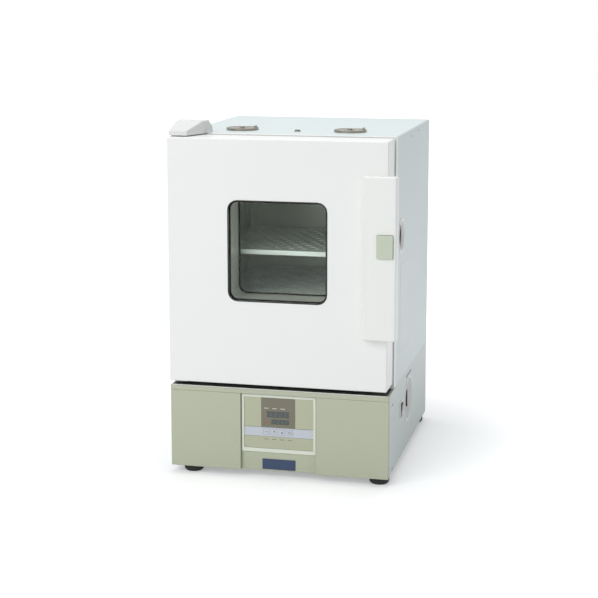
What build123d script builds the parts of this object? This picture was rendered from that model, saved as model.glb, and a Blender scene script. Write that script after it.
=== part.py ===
from build123d import *
import math
import os

# A bench-top drying oven. X runs to the right, Y to the back and Z up, in millimetres.
# Every piece is placed from the middle of the cabinet's width, from the front of the base
# and from the floor. At the end all pieces move together, so that the part's origin is on
# the floor under the middle of its bounding box.

# Casing
CABINET_WIDTH = 420.0
CABINET_DEPTH = 480.0
BASE_HEIGHT = 158.0
UPPER_HEIGHT = 474.0
SHEET = 1.2
SEAM = 0.3
FOLD_ROUND = 1.0
TOP_BEND = 4.0
FRAME_DEPTH = 16.0
SIDE_SETBACK = 12.0
SIDE_RAISE = 2.0

# Feet
FOOT_HEIGHT = 15.0
FOOT_RADIUS = 19.0
FOOT_ROUND = 7.0
FOOT_INSET_LEFT = 37.0
FOOT_INSET_RIGHT = 21.0
FOOT_INSET_FRONT = 27.0
FOOT_INSET_REAR = 30.0

# Chamber and its insulation
SIDE_INSULATION = 60.0
CEILING_INSULATION = 60.0
FLOOR_INSULATION = 59.0
REAR_INSULATION = 60.0
REAR_SPACE = 105.0
HEATER_SPACE = 55.0
LINER_SHEET = 1.0
MOUTH_CORNER = 10.0

# Door
DOOR_THICKNESS = 62.5
DOOR_PROUD = 12.5
DOOR_SIDE_INSET = 2.0
DOOR_TOP_INSET = 1.5
DOOR_BOTTOM_GAP = 11.5
DOOR_TO_FRAME = 9.0
DOOR_BEND = 3.0
DOOR_EDGE_ROUND = 2.4
PLUG_GAP = 6.0
PLUG_DEPTH = 16.0
PLUG_CORNER = 14.0

# Window in the door
WINDOW_FROM_LEFT = 118.0
WINDOW_FROM_RIGHT = 114.0
WINDOW_SILL = 160.5
WINDOW_HEAD = 115.5
WINDOW_CORNER = 16.0
TUNNEL_SETBACK = 1.0
TUNNEL_WALL = 0.8
GLASS = 4.0
GLASS_SIDE_GAP = 0.4
SEAL_HEIGHT = 2.5
SEAL_DEPTH = 4.0
LIP = 3.0

# Gasket round the chamber's mouth
GASKET_WIDTH = 14.0
GASKET_OFFSET = 3.0
GASKET_ROUND = 3.0

# Hinges, on the left
HINGE_INSET = 12.0
HINGE_BEHIND_DOOR_FRONT = 22.5
PIN_RADIUS = 4.0
PIN_LENGTH = 15.0
PIN_CLEARANCE = 0.05
BUSH_WALL = 3.0
BUSH_FLANGE = 1.2
BUSH_FLANGE_WIDTH = 2.0
BRACKET = 3.0
BRACKET_WIDTH = 26.0
TOP_BRACKET_REACH = 34.0
COVER_FRONT_WIDTH = 36.0
COVER_REAR_WIDTH = 58.0
COVER_FRONT_HEIGHT = 10.0
COVER_RIDGE_HEIGHT = 25.0
COVER_FRONT_OVERHANG = 61.0
COVER_REACH = 36.0
COVER_WALL = 2.0
COVER_ROUND = 3.0

# Handle with its push button
HANDLE_LIFT = 101.5
HANDLE_DROP = 61.5
HANDLE_PROUD = 22.0
HANDLE_OVERHANG = 19.0
HANDLE_ON_DOOR = 51.0
HANDLE_SLOPE = 12.0
HANDLE_WALL = 2.5
HANDLE_ROUND = 4.0
BUTTON_WIDTH = 30.0
BUTTON_HEIGHT = 43.0
BUTTON_FROM_EDGE = 21.0
BUTTON_LIFT = 172.5
BUTTON_PROUD = 4.0
BUTTON_DEPTH = 10.0
BUTTON_GAP = 0.4
BUTTON_EDGE_ROUND = 1.0
BUTTON_TRAVEL = 4.0
ROD_RADIUS = 3.0
ROD_GAP = 0.5
ROD_FROM_EDGE = 14.0
ROD_STOP_GAP = 0.5

# Magnetic catch
MAGNET_WIDTH = 18.0
MAGNET_HEIGHT = 46.0
MAGNET_LIFT = 150.0
MAGNET_CORNER = 3.0
CATCH_EDGE = 7.0

# Control column in the base
RAIL_HEIGHT = 9.0
COLUMN_WIDTH = 146.0
COLUMN_RECESS = 7.0
COLUMN_FLANGE = 12.0
BEZEL_WIDTH = 144.0
BEZEL_LIFT = 35.4
BEZEL_SIDE = 5.0
BEZEL_TOP = 6.0
BEZEL_BOTTOM = 8.0
BEZEL_PROUD = 2.6
BEZEL_CORNER = 2.5
BEZEL_BEVEL = 0.9
CASE_WALL = 2.0
CASE_DEPTH = 42.0
CASE_INSET = 3.0
OVERLAY = 1.4
DISPLAYS = (((42.3, 11.6), (-1.3, 0.3263)), ((33.8, 8.9), (3.0, 0.4707)))
KEY_DROP_SHARE = 0.6717
DISPLAY_SINK = 0.4
KEY_NAMES = ("mode", "down", "up", "set")
KEY_X = (-24.0, -8.7, 6.6, 21.9)
KEY_SIZE = 11.0
KEY_GAP = 0.3
KEY_PROUD = 0.4
KEY_TRAVEL = 1.0
KEY_FLANGE = 1.0
KEY_STEM_RADIUS = 2.0
BOARD = 1.6
TACT_SIZE = 6.0
TACT_HEIGHT = 4.3
BOARD_SETBACK = 10.0

# Shelves
SHELF_SIDE_GAP = 2.0
SHELF_SLIDE = 10.0
SHELF_STOP_GAP = 2.0
SHELF_REAR_GAP = 7.0
SHELF_SHEET = 1.2
SHELF_RIM = 9.0
SHELF_LIFTS = (56.0, 139.0)
SHELF_HOLE_RADIUS = 6.5
SHELF_PITCH = 25.0
SHELF_MARGIN = 16.0
RAIL_THICKNESS = 3.0
RAIL_WIDTH = 12.0
RAIL_FRONT = 18.0
RAIL_REAR = 20.0
RAIL_END_GAP = 8.0
RAIL_SLOT = (4.0, 10.0)
RAIL_SLOT_PITCH = 22.0
CLIP_REACH = 9.0
CLIP_HEIGHT = 5.0
CLIP_GAP = 0.2

# Heater under the perforated floor
FLOOR_SHEET = 1.2
FLOOR_GAP = 1.0
FLOOR_REAR_GAP = 4.0
FLOOR_SLOT = (34.0, 7.0)
FLOOR_SLOT_PITCH = (46.0, 26.0)
HEATER_RADIUS = 4.0
HEATER_LEG = 22.0
HEATER_SIDE_GAP = 36.0
HEATER_SECTION_SIDES = 12
HEATER_LIFT = 28.0
HEATER_FRONT_GAP = 34.0
HEATER_TERMINAL = 12.0
HEATER_BEAD_RADIUS = 6.5
HEATER_BEAD_LENGTH = 7.0
SUPPORT_SHEET = 1.5

# Probe in the chamber
PROBE_RADIUS = 2.5
PROBE_LENGTH = 32.0
PROBE_FROM_SIDE = 22.0
PROBE_FROM_CEILING = 22.0
PROBE_NUT_RADIUS = 6.0
PROBE_NUT = 4.0

# Air vents and thermometer hole in the top
VENT_FROM_SIDE = 104.0
VENT_Y = 150.0
VENT_RADIUS = 31.0
VENT_TUBE_RADIUS = 21.2
VENT_TUBE_WALL = 1.2
VENT_PLATE = 2.0
VENT_RIM = 4.5
VENT_RIM_WALL = 1.5
VENT_SECTOR = 80.0
VENT_SECTOR_RADII = (6.0, 18.0)
DAMPER_SHEET = 1.5
DAMPER_GAP = 0.3
DAMPER_BOSS_RADIUS = 4.0
DAMPER_BOSS = 3.0
DAMPER_PIN_RADIUS = 2.0
DAMPER_TAB = (3.0, 13.0, 5.0)
THERMO_X = 5.6
THERMO_Y = 138.0
THERMO_BORE_RADIUS = 4.0
THERMO_WALL = 0.8
THERMO_FLANGE_WIDTH = 2.0
THERMO_HEAD_RADIUS = 5.5
THERMO_HEAD = 2.5
THERMO_STEM = 22.0
THERMO_TAPER = 0.8

# Cable port in the right side
PORT_Y = 127.0
PORT_LIFT = 282.0
PORT_RADIUS = 30.0
PORT_BORE_RADIUS = 26.0
PORT_WALL = 1.2
PORT_FLANGE_WIDTH = 2.5
PORT_FLANGE = 1.0
PORT_DISH = 5.0
PORT_PLUG_GAP = 0.3
PORT_PLUG_TAPER = 1.0
PORT_PLUG_SINK = 6.0

# Overheat dial in its round recess, right side of the base
DIAL_Y = 237.0
DIAL_DROP = 64.0
DISH_RADIUS = 42.0
DISH_DEPTH = 12.0
DISH_TAPER = 3.0
DISH_WALL = 1.5
DISH_FLANGE_WIDTH = 2.0
DISH_FLANGE = 0.8
DIAL_RADIUS = 20.0
DIAL_SINK = 2.3
DIAL_FLUTES = 12
DIAL_FLUTE_RADIUS = 1.6
DIAL_GRIP_WIDTH = 7.0
DIAL_GRIP = 3.0
DIAL_SHAFT_RADIUS = 3.0
DIAL_SHAFT_GAP = 0.1
THERMOSTAT = (34.0, 38.0, 30.0)
THERMOSTAT_NECK_RADIUS = 6.0

# Mains switch, right side of the base
SWITCH_Y = 143.0
SWITCH_DROP = 62.5
SWITCH_WIDTH = 28.0
SWITCH_HEIGHT = 36.0
SWITCH_FLANGE = 1.8
SWITCH_BODY_DEPTH = 24.0
SWITCH_BODY_INSET = 1.5
SWITCH_WELL = (21.0, 30.0)
SWITCH_WELL_DEPTH = 13.0
ROCKER_GAP = 0.4
ROCKER_TILT = 9.0
ROCKER_DEPTH = 7.0
ROCKER_PROUD = 3.2

# Power inlet and air slots in the rear of the base
INLET_FROM_SIDE = 60.0
INLET_LIFT = 40.0
INLET_FLANGE = (50.0, 24.0)
INLET_FLANGE_THICKNESS = 2.0
INLET_BODY = (30.0, 22.0)
INLET_SOCKET = (24.4, 16.4)
INLET_SOCKET_DEPTH = 20.0
INLET_BODY_DEPTH = 24.0
INLET_PIN = (4.0, 2.0)
INLET_PIN_LENGTH = 14.0
INLET_PIN_PITCH = 7.0
INLET_PIN_DROP = 2.0
SLOT_SIZE = (50.0, 4.0)
SLOT_COUNT = 5
SLOT_PITCH = 10.0
SLOT_COLUMNS = (-110.0, -40.0, 30.0)
SLOT_DROP = 83.0
REAR_FOLD = 14.0

# Electrical pieces inside the base
TRAY_WALL = 18.0
RELAY = (45.0, 58.0, 23.0)
RELAY_INSET = (100.0, 180.0)
SINK_PLATE = (70.0, 90.0, 4.0)
SINK_FIN = (3.0, 90.0, 18.0)
SINK_FIN_COUNT = 7
TERMINALS = (70.0, 22.0, 18.0)
TERMINALS_INSET = (150.0, 120.0)
TERMINAL_WAYS = 6
TERMINAL_WELL = 7.0

# Limits worked out from the sizes above, as (low, high) pairs
BASE_Z = (FOOT_HEIGHT, FOOT_HEIGHT + BASE_HEIGHT)
TOP_Z = BASE_Z[1] + UPPER_HEIGHT
CABINET_X = (-CABINET_WIDTH / 2, CABINET_WIDTH / 2)
DOOR_Y = (-DOOR_PROUD, DOOR_THICKNESS - DOOR_PROUD)
DOOR_X = (CABINET_X[0] + DOOR_SIDE_INSET, CABINET_X[1] - DOOR_SIDE_INSET)
DOOR_Z = (BASE_Z[1] + DOOR_BOTTOM_GAP, TOP_Z - DOOR_TOP_INSET)
FRAME_Y = DOOR_Y[1] + DOOR_TO_FRAME
SHELL_Y = (FRAME_Y + FRAME_DEPTH + SEAM, CABINET_DEPTH)
CHAMBER_X = (CABINET_X[0] + SIDE_INSULATION, CABINET_X[1] - SIDE_INSULATION)
LINER_FLOOR = BASE_Z[1] + FLOOR_INSULATION
CHAMBER_Z = (LINER_FLOOR + HEATER_SPACE, TOP_Z - CEILING_INSULATION)
CHAMBER_BACK = CABINET_DEPTH - REAR_SPACE
LINER_FRONT = FRAME_Y + SHEET + SEAM
PLUG_X = (CHAMBER_X[0] + PLUG_GAP, CHAMBER_X[1] - PLUG_GAP)
PLUG_Z = (CHAMBER_Z[0] + PLUG_GAP, CHAMBER_Z[1] - PLUG_GAP)
PLUG_Y = (DOOR_Y[1], DOOR_Y[1] + PLUG_DEPTH)
WINDOW_SPAN_X = (DOOR_X[0] + WINDOW_FROM_LEFT, DOOR_X[1] - WINDOW_FROM_RIGHT)
WINDOW_SPAN_Z = (DOOR_Z[0] + WINDOW_SILL, DOOR_Z[1] - WINDOW_HEAD)
HINGE_X = DOOR_X[0] + HINGE_INSET
HINGE_Y = DOOR_Y[0] + HINGE_BEHIND_DOOR_FRONT
HANDLE_X = (DOOR_X[1] - HANDLE_ON_DOOR, DOOR_X[1] + HANDLE_OVERHANG)
HANDLE_Z = (DOOR_Z[0] + HANDLE_LIFT, DOOR_Z[1] - HANDLE_DROP)
HANDLE_FRONT = DOOR_Y[0] - HANDLE_PROUD
BUTTON_X = HANDLE_X[1] - BUTTON_FROM_EDGE
BUTTON_Z = HANDLE_Z[0] + BUTTON_LIFT
ROD_X = DOOR_X[1] - ROD_FROM_EDGE
COLUMN_X = (-COLUMN_WIDTH / 2, COLUMN_WIDTH / 2)
PANEL_TOP = BASE_Z[1] - RAIL_HEIGHT
BEZEL_X = (-BEZEL_WIDTH / 2, BEZEL_WIDTH / 2)
BEZEL_Z = (BASE_Z[0] + BEZEL_LIFT, PANEL_TOP - 2 * SEAM)
FIELD_X = (BEZEL_X[0] + BEZEL_SIDE, BEZEL_X[1] - BEZEL_SIDE)
FIELD_Z = (BEZEL_Z[0] + BEZEL_BOTTOM, BEZEL_Z[1] - BEZEL_TOP)
FIELD_HEIGHT = FIELD_Z[1] - FIELD_Z[0]
KEY_Z = FIELD_Z[1] - FIELD_HEIGHT * KEY_DROP_SHARE
OVERLAY_Y = (COLUMN_RECESS - OVERLAY, COLUMN_RECESS)
BOARD_Y = COLUMN_RECESS + BOARD_SETBACK
SHELF_X = (
    CHAMBER_X[0] + RAIL_THICKNESS + SHELF_SIDE_GAP,
    CHAMBER_X[1] - RAIL_THICKNESS - SHELF_SIDE_GAP,
)
SHELF_Y = (PLUG_Y[1] + SHELF_SLIDE + SHELF_STOP_GAP, CHAMBER_BACK - SHELF_REAR_GAP)
SHELF_TOPS = [CHAMBER_Z[0] + lift for lift in SHELF_LIFTS]
RAIL_Y = (PLUG_Y[1] + RAIL_FRONT, CHAMBER_BACK - RAIL_REAR - RAIL_WIDTH)
COVER_RIDGE_Y = FRAME_Y + COVER_WALL
VENTS_X = (CABINET_X[0] + VENT_FROM_SIDE, CABINET_X[1] - VENT_FROM_SIDE)
PORT_AT = (PORT_Y, BASE_Z[1] + PORT_LIFT)
DIAL_Z = BASE_Z[1] - DIAL_DROP
SWITCH_Z = BASE_Z[1] - SWITCH_DROP
INLET_X = CABINET_X[1] - INLET_FROM_SIDE
INLET_Z = BASE_Z[0] + INLET_LIFT
SLOT_LOW = BASE_Z[1] - SLOT_DROP
RELAY_AT = (CABINET_X[0] + RELAY_INSET[0], CABINET_DEPTH - RELAY_INSET[1])
TERMINALS_AT = (CABINET_X[1] - TERMINALS_INSET[0], CABINET_DEPTH - TERMINALS_INSET[1])


def middle(pair):
    """The middle of a (low, high) pair."""
    return (pair[0] + pair[1]) / 2


def shrink(pair, by):
    """The pair with both ends moved inwards, or outwards for a negative amount."""
    return (pair[0] + by, pair[1] - by)


def around(centre, size):
    """The pair that is this wide, about a centre."""
    return (centre - size / 2, centre + size / 2)


def block(x, y, z):
    """A box between the limits of three pairs."""
    centre = Pos(middle(x), middle(y), middle(z))
    return centre * Box(x[1] - x[0], y[1] - y[0], z[1] - z[0])


def panel(across, up, radius=0.0):
    """A flat rectangle between two pairs, with round corners where a radius is given."""
    width = across[1] - across[0]
    height = up[1] - up[0]
    shape = RectangleRounded(width, height, radius) if radius else Rectangle(width, height)
    return Pos(middle(across), middle(up)) * shape


def from_front(sketch, y):
    """A sketch of (x, z) drawn out between two Y limits."""
    return extrude(Plane.XZ.offset(-y[1]) * sketch, y[1] - y[0])


def from_side(sketch, x):
    """A sketch of (y, z) drawn out between two X limits."""
    return extrude(Plane.YZ.offset(x[0]) * sketch, x[1] - x[0])


def from_top(sketch, z):
    """A sketch of (x, y) drawn out between two Z limits."""
    return extrude(Plane.XY.offset(z[0]) * sketch, z[1] - z[0])


def group(pieces):
    """Several separate solids as one node."""
    return Compound([solid for piece in pieces for solid in piece.solids()])


def spread(count, pitch):
    """Places for a number of copies at a pitch, about a middle of 0."""
    return [(index - (count - 1) / 2) * pitch for index in range(count)]


def disc(at, radius):
    """A round sketch at a place."""
    return Pos(*at) * Circle(radius)


def turned(points, at):
    """A body turned about a vertical axis through (x, y), from (radius, z) points."""
    profile = Plane.XZ * make_face(Polyline(*points, close=True))
    return Pos(at[0], at[1], 0) * revolve(profile, Axis.Z)


def turned_sideways(points, at):
    """A body turned about an axis along X through (y, z), from (x, radius) points."""
    profile = Plane.XY * make_face(Polyline(*points, close=True))
    return Pos(0, at[0], at[1]) * revolve(profile, Axis.X)


# Base


def make_feet():
    """Four rubber feet, each a round pad with a rolled lower edge."""
    points = [(0, 0), (FOOT_RADIUS - FOOT_ROUND, 0)]
    for turn in (30, 60, 90):
        out = FOOT_ROUND * math.sin(math.radians(turn))
        rise = FOOT_ROUND * (1 - math.cos(math.radians(turn)))
        points.append((FOOT_RADIUS - FOOT_ROUND + out, rise))
    points += [(FOOT_RADIUS, FOOT_HEIGHT), (0, FOOT_HEIGHT)]
    foot = turned(points, (0, 0))
    feet = []
    for x in (CABINET_X[0] + FOOT_INSET_LEFT, CABINET_X[1] - FOOT_INSET_RIGHT):
        for y in (FOOT_INSET_FRONT, CABINET_DEPTH - FOOT_INSET_REAR):
            feet.append(Pos(x, y, 0) * foot)
    return group(feet)


def make_base_tray():
    """The bottom pan of the base, with its edges folded up."""
    x = shrink(CABINET_X, SHEET + SEAM)
    y = (SHEET + SEAM, CABINET_DEPTH - SHEET - SEAM)
    z = (BASE_Z[0], BASE_Z[0] + TRAY_WALL)
    tray = block(x, y, z) - block(shrink(x, SHEET), shrink(y, SHEET), (z[0] + SHEET, z[1] + SHEET))
    notch_x = shrink(COLUMN_X, -SHEET - SEAM)
    notch = block(notch_x, (0, COLUMN_RECESS + SHEET + SEAM), z)
    room_above = block(notch_x, (0, COLUMN_RECESS + COLUMN_FLANGE), (z[0] + SHEET, z[1]))
    return tray - notch - room_above


def make_base_casing():
    """The two sides and the back of the base, folded from one sheet."""
    y = (SIDE_SETBACK + SEAM, CABINET_DEPTH)
    z = (BASE_Z[0] + SIDE_RAISE, BASE_Z[1])
    outer = block(CABINET_X, y, z)
    rear_edges = outer.edges().filter_by(Axis.Z).group_by(Axis.Y)[-1]
    outer = fillet(rear_edges, SHEET * 2)
    inner = block(shrink(CABINET_X, SHEET), (y[0] - SHEET, y[1] - SHEET), shrink(z, -SHEET))
    casing = outer - inner
    right = (CABINET_X[1] - 2 * SHEET, CABINET_X[1] + SHEET)
    casing -= from_side(disc((DIAL_Y, DIAL_Z), DISH_RADIUS + DISH_WALL + SEAM), right)
    hole = panel(
        around(SWITCH_Y, SWITCH_WIDTH - 2 * SWITCH_BODY_INSET + SEAM),
        around(SWITCH_Z, SWITCH_HEIGHT - 2 * SWITCH_BODY_INSET + SEAM),
    )
    casing -= from_side(hole, right)
    rear = (CABINET_DEPTH - 2 * SHEET, CABINET_DEPTH + SHEET)
    inlet_hole = panel(around(INLET_X, INLET_BODY[0] + SEAM), around(INLET_Z, INLET_BODY[1] + SEAM))
    casing -= from_front(inlet_hole, rear)
    for x in SLOT_COLUMNS:
        for row in range(SLOT_COUNT):
            up = around(SLOT_LOW + row * SLOT_PITCH, SLOT_SIZE[1])
            casing -= from_front(panel(around(x, SLOT_SIZE[0]), up), rear)
    return casing


def make_base_top_rail():
    """The full-width folded rail along the base's top edge, under the door."""
    y = (0, FRAME_Y - SEAM)
    z = (PANEL_TOP, BASE_Z[1])
    outer = block(CABINET_X, y, z)
    front_edge = outer.edges().filter_by(Axis.X).group_by(Axis.Y)[0].group_by(Axis.Z)[-1]
    outer = fillet(front_edge, SHEET)
    inner = block(shrink(CABINET_X, SHEET), (y[0] + SHEET, y[1] + SHEET), (z[0] - SHEET, z[1] - SHEET))
    behind = (SIDE_SETBACK, y[1] + SHEET)
    casing_room = block(CABINET_X, behind, z) - block(shrink(CABINET_X, SHEET + SEAM), behind, z)
    return outer - inner - casing_room


def make_base_front(side):
    """One of the two front panels, with a side return and a step in to the control column."""
    outer_x = CABINET_X[0] if side < 0 else CABINET_X[1]
    inner_x = COLUMN_X[0] if side < 0 else COLUMN_X[1]
    x = (min(outer_x, inner_x), max(outer_x, inner_x))
    z = (BASE_Z[0], PANEL_TOP - SEAM)
    sheet = block(x, (0, SHEET), z)
    outer_return = block(
        (min(outer_x, outer_x - side * SHEET), max(outer_x, outer_x - side * SHEET)), (0, SIDE_SETBACK), z
    )
    step = block(
        (min(inner_x, inner_x + side * SHEET), max(inner_x, inner_x + side * SHEET)),
        (0, COLUMN_RECESS + SHEET),
        z,
    )
    front = sheet + outer_return + step
    corners = front.edges().filter_by(Axis.Z).group_by(Axis.Y)[0]
    return fillet(corners, FOLD_ROUND)


def make_control_column():
    """The recessed middle panel of the base, with the cut-out for the controller."""
    x = shrink(COLUMN_X, SEAM)
    z = (BASE_Z[0], PANEL_TOP - SEAM)
    y = (COLUMN_RECESS, COLUMN_RECESS + COLUMN_FLANGE)
    column = block(x, y, z) - block(shrink(x, SHEET), (y[0] + SHEET, y[1] + SHEET), shrink(z, -SHEET))
    opening = panel(shrink(BEZEL_X, CASE_INSET - SEAM), shrink(BEZEL_Z, CASE_INSET - SEAM))
    tray_room = block(x, (y[0] + SHEET, y[1]), (z[0], z[0] + SHEET + SEAM))
    return column - tray_room - from_front(opening, shrink(y, -SHEET))


def make_controller_housing():
    """The controller's moulded box and the raised bezel round its field, in one piece."""
    bezel_y = (COLUMN_RECESS - BEZEL_PROUD, COLUMN_RECESS)
    bezel = from_front(panel(BEZEL_X, BEZEL_Z, BEZEL_CORNER), bezel_y)
    bezel = chamfer(bezel.faces().sort_by(Axis.Y)[0].edges(), BEZEL_BEVEL)
    case_x = shrink(BEZEL_X, CASE_INSET)
    case_z = shrink(BEZEL_Z, CASE_INSET)
    case_y = (COLUMN_RECESS, COLUMN_RECESS + CASE_DEPTH)
    case = block(case_x, case_y, case_z)
    hollow_y = (case_y[0] - SHEET, case_y[1] - CASE_WALL)
    hollow = block(shrink(case_x, CASE_WALL), hollow_y, shrink(case_z, CASE_WALL))
    field = from_front(panel(FIELD_X, FIELD_Z), shrink(bezel_y, -SHEET))
    return bezel + case - hollow - field


def make_control_overlay():
    """The film-faced plate in the bezel, with two display windows and four key openings."""
    overlay = from_front(panel(shrink(FIELD_X, SEAM), shrink(FIELD_Z, SEAM)), OVERLAY_Y)
    through = shrink(OVERLAY_Y, -SHEET)
    for size, (x, share) in DISPLAYS:
        z = FIELD_Z[1] - FIELD_HEIGHT * share
        window = panel(around(x, size[0] + SEAM), around(z, size[1] + SEAM))
        overlay -= from_front(window, through)
    for x in KEY_X:
        opening = panel(around(x, KEY_SIZE + 2 * KEY_GAP), around(KEY_Z, KEY_SIZE + 2 * KEY_GAP))
        overlay -= from_front(opening, through)
    return overlay


def make_displays():
    """The two four-digit display blocks, standing on the circuit board."""
    y = (OVERLAY_Y[0] + DISPLAY_SINK, BOARD_Y)
    blocks = []
    for size, (x, share) in DISPLAYS:
        z = FIELD_Z[1] - FIELD_HEIGHT * share
        blocks.append(from_front(panel(around(x, size[0]), around(z, size[1])), y))
    return group(blocks)


def make_key(x):
    """A key cap with its retaining flange and the stem that presses its switch."""
    flange_front = OVERLAY_Y[1] + KEY_GAP
    cap = from_front(
        panel(around(x, KEY_SIZE), around(KEY_Z, KEY_SIZE), KEY_GAP * 2),
        (OVERLAY_Y[0] - KEY_PROUD, flange_front),
    )
    flange_size = KEY_SIZE + 2 * (KEY_GAP + KEY_FLANGE)
    flange = from_front(
        panel(around(x, flange_size), around(KEY_Z, flange_size)), (flange_front, flange_front + KEY_FLANGE)
    )
    stem_end = BOARD_Y - TACT_HEIGHT - KEY_TRAVEL - KEY_GAP
    stem = from_front(disc((x, KEY_Z), KEY_STEM_RADIUS), (flange_front, stem_end))
    return cap + flange + stem


def make_control_board():
    """The circuit board with one push switch behind each key, seated in the case."""
    x = shrink(BEZEL_X, CASE_INSET + CASE_WALL + SEAM)
    z = shrink(BEZEL_Z, CASE_INSET + CASE_WALL + SEAM)
    board = from_front(panel(x, z), (BOARD_Y, BOARD_Y + BOARD))
    for key_x in KEY_X:
        switch = panel(around(key_x, TACT_SIZE), around(KEY_Z, TACT_SIZE))
        board += from_front(switch, (BOARD_Y - TACT_HEIGHT, BOARD_Y))
    return board


def make_relay():
    """The solid-state relay on its finned heat sink."""
    floor = BASE_Z[0] + SHEET
    x, y = RELAY_AT
    fins_top = floor + SINK_FIN[2]
    plate_top = fins_top + SINK_PLATE[2]
    relay = block(around(x, SINK_PLATE[0]), around(y, SINK_PLATE[1]), (fins_top, plate_top))
    step = (SINK_PLATE[0] - SINK_FIN[0]) / (SINK_FIN_COUNT - 1)
    for index in range(SINK_FIN_COUNT):
        fin_x = x - SINK_PLATE[0] / 2 + SINK_FIN[0] / 2 + index * step
        relay += block(around(fin_x, SINK_FIN[0]), around(y, SINK_FIN[1]), (floor, fins_top))
    body = block(around(x, RELAY[0]), around(y, RELAY[1]), (plate_top, plate_top + RELAY[2]))
    return relay + body


def make_terminal_block():
    """The screw terminal strip that joins the mains wires."""
    floor = BASE_Z[0] + SHEET
    x, y = TERMINALS_AT
    top = floor + TERMINALS[2]
    strip = block(around(x, TERMINALS[0]), around(y, TERMINALS[1]), (floor, top))
    pitch = TERMINALS[0] / TERMINAL_WAYS
    for way in range(TERMINAL_WAYS):
        well_x = x - TERMINALS[0] / 2 + pitch * (way + 0.5)
        well = panel(around(well_x, TERMINAL_WELL), around(y, TERMINAL_WELL))
        strip -= from_top(well, (top - TERMINAL_WELL, top + SHEET))
    return strip


def make_power_inlet():
    """The three-pin inlet in the rear of the base."""
    face = CABINET_DEPTH
    outside = face + INLET_FLANGE_THICKNESS
    flange_x = around(INLET_X, INLET_FLANGE[0])
    flange_z = around(INLET_Z, INLET_FLANGE[1])
    flange = from_front(panel(flange_x, flange_z, INLET_FLANGE_THICKNESS * 2), (face, outside))
    body = from_front(
        panel(around(INLET_X, INLET_BODY[0]), around(INLET_Z, INLET_BODY[1])),
        (outside - INLET_BODY_DEPTH, face),
    )
    socket = from_front(
        panel(around(INLET_X, INLET_SOCKET[0]), around(INLET_Z, INLET_SOCKET[1])),
        (outside - INLET_SOCKET_DEPTH, outside + SHEET),
    )
    upper = socket.edges().filter_by(Axis.Y).group_by(Axis.Z)[-1]
    socket = chamfer(upper, INLET_SOCKET[1] / 4)
    inlet = flange + body - socket
    floor = outside - INLET_SOCKET_DEPTH
    for step, rise in ((-1, -INLET_PIN_DROP), (0, INLET_PIN_DROP), (1, -INLET_PIN_DROP)):
        pin_x = around(INLET_X + step * INLET_PIN_PITCH, INLET_PIN[1])
        pin_z = around(INLET_Z + rise, INLET_PIN[0])
        inlet += from_front(panel(pin_x, pin_z), (floor, floor + INLET_PIN_LENGTH))
    return inlet


def make_switch_frame():
    """The mains switch's frame and body, with the well that its rocker tilts in."""
    face = CABINET_X[1]
    frame = from_side(
        panel(around(SWITCH_Y, SWITCH_WIDTH), around(SWITCH_Z, SWITCH_HEIGHT), SWITCH_FLANGE),
        (face, face + SWITCH_FLANGE),
    )
    body = from_side(
        panel(
            around(SWITCH_Y, SWITCH_WIDTH - 2 * SWITCH_BODY_INSET),
            around(SWITCH_Z, SWITCH_HEIGHT - 2 * SWITCH_BODY_INSET),
        ),
        (face - SWITCH_BODY_DEPTH, face),
    )
    well = from_side(
        panel(around(SWITCH_Y, SWITCH_WELL[0]), around(SWITCH_Z, SWITCH_WELL[1])),
        (face + SWITCH_FLANGE - SWITCH_WELL_DEPTH, face + 2 * SWITCH_FLANGE),
    )
    return frame + body - well


def switch_pivot_x():
    """Where the rocker's axle lies, behind the switch's face."""
    return CABINET_X[1] + SWITCH_FLANGE - ROCKER_DEPTH / 2


def make_switch_rocker():
    """The rocker: two flat faces that meet at its middle, tilted to one side at rest."""
    half = SWITCH_WELL[1] / 2 - 3 * ROCKER_GAP
    front = ROCKER_DEPTH / 2
    drop = half * math.tan(math.radians(ROCKER_TILT))
    outline = Polyline(
        (-front, -half + front),
        (ROCKER_PROUD, -half),
        (ROCKER_PROUD + front - drop, 0),
        (ROCKER_PROUD, half),
        (-front, half - front),
        close=True,
    )
    profile = Plane.XZ * make_face(outline)
    width = SWITCH_WELL[0] - 2 * ROCKER_GAP
    rocker = Pos(0, width / 2, 0) * extrude(profile, width)
    return Pos(switch_pivot_x(), SWITCH_Y, SWITCH_Z) * (Rot(0, ROCKER_TILT, 0) * rocker)


def make_dial_dish():
    """The round recess that keeps the overheat dial below the side's surface."""
    face = CABINET_X[1]
    lip = face + DISH_FLANGE
    floor = lip - DISH_DEPTH
    bottom = DISH_RADIUS - DISH_TAPER
    points = [
        (floor - DISH_WALL, DIAL_SHAFT_RADIUS + DIAL_SHAFT_GAP),
        (floor, DIAL_SHAFT_RADIUS + DIAL_SHAFT_GAP),
        (floor, bottom),
        (lip, DISH_RADIUS),
        (lip, DISH_RADIUS + DISH_WALL + DISH_FLANGE_WIDTH),
        (face, DISH_RADIUS + DISH_WALL + DISH_FLANGE_WIDTH),
        (face, DISH_RADIUS + DISH_WALL),
        (floor - DISH_WALL, bottom + DISH_WALL),
    ]
    return turned_sideways(points, (DIAL_Y, DIAL_Z))


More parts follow.
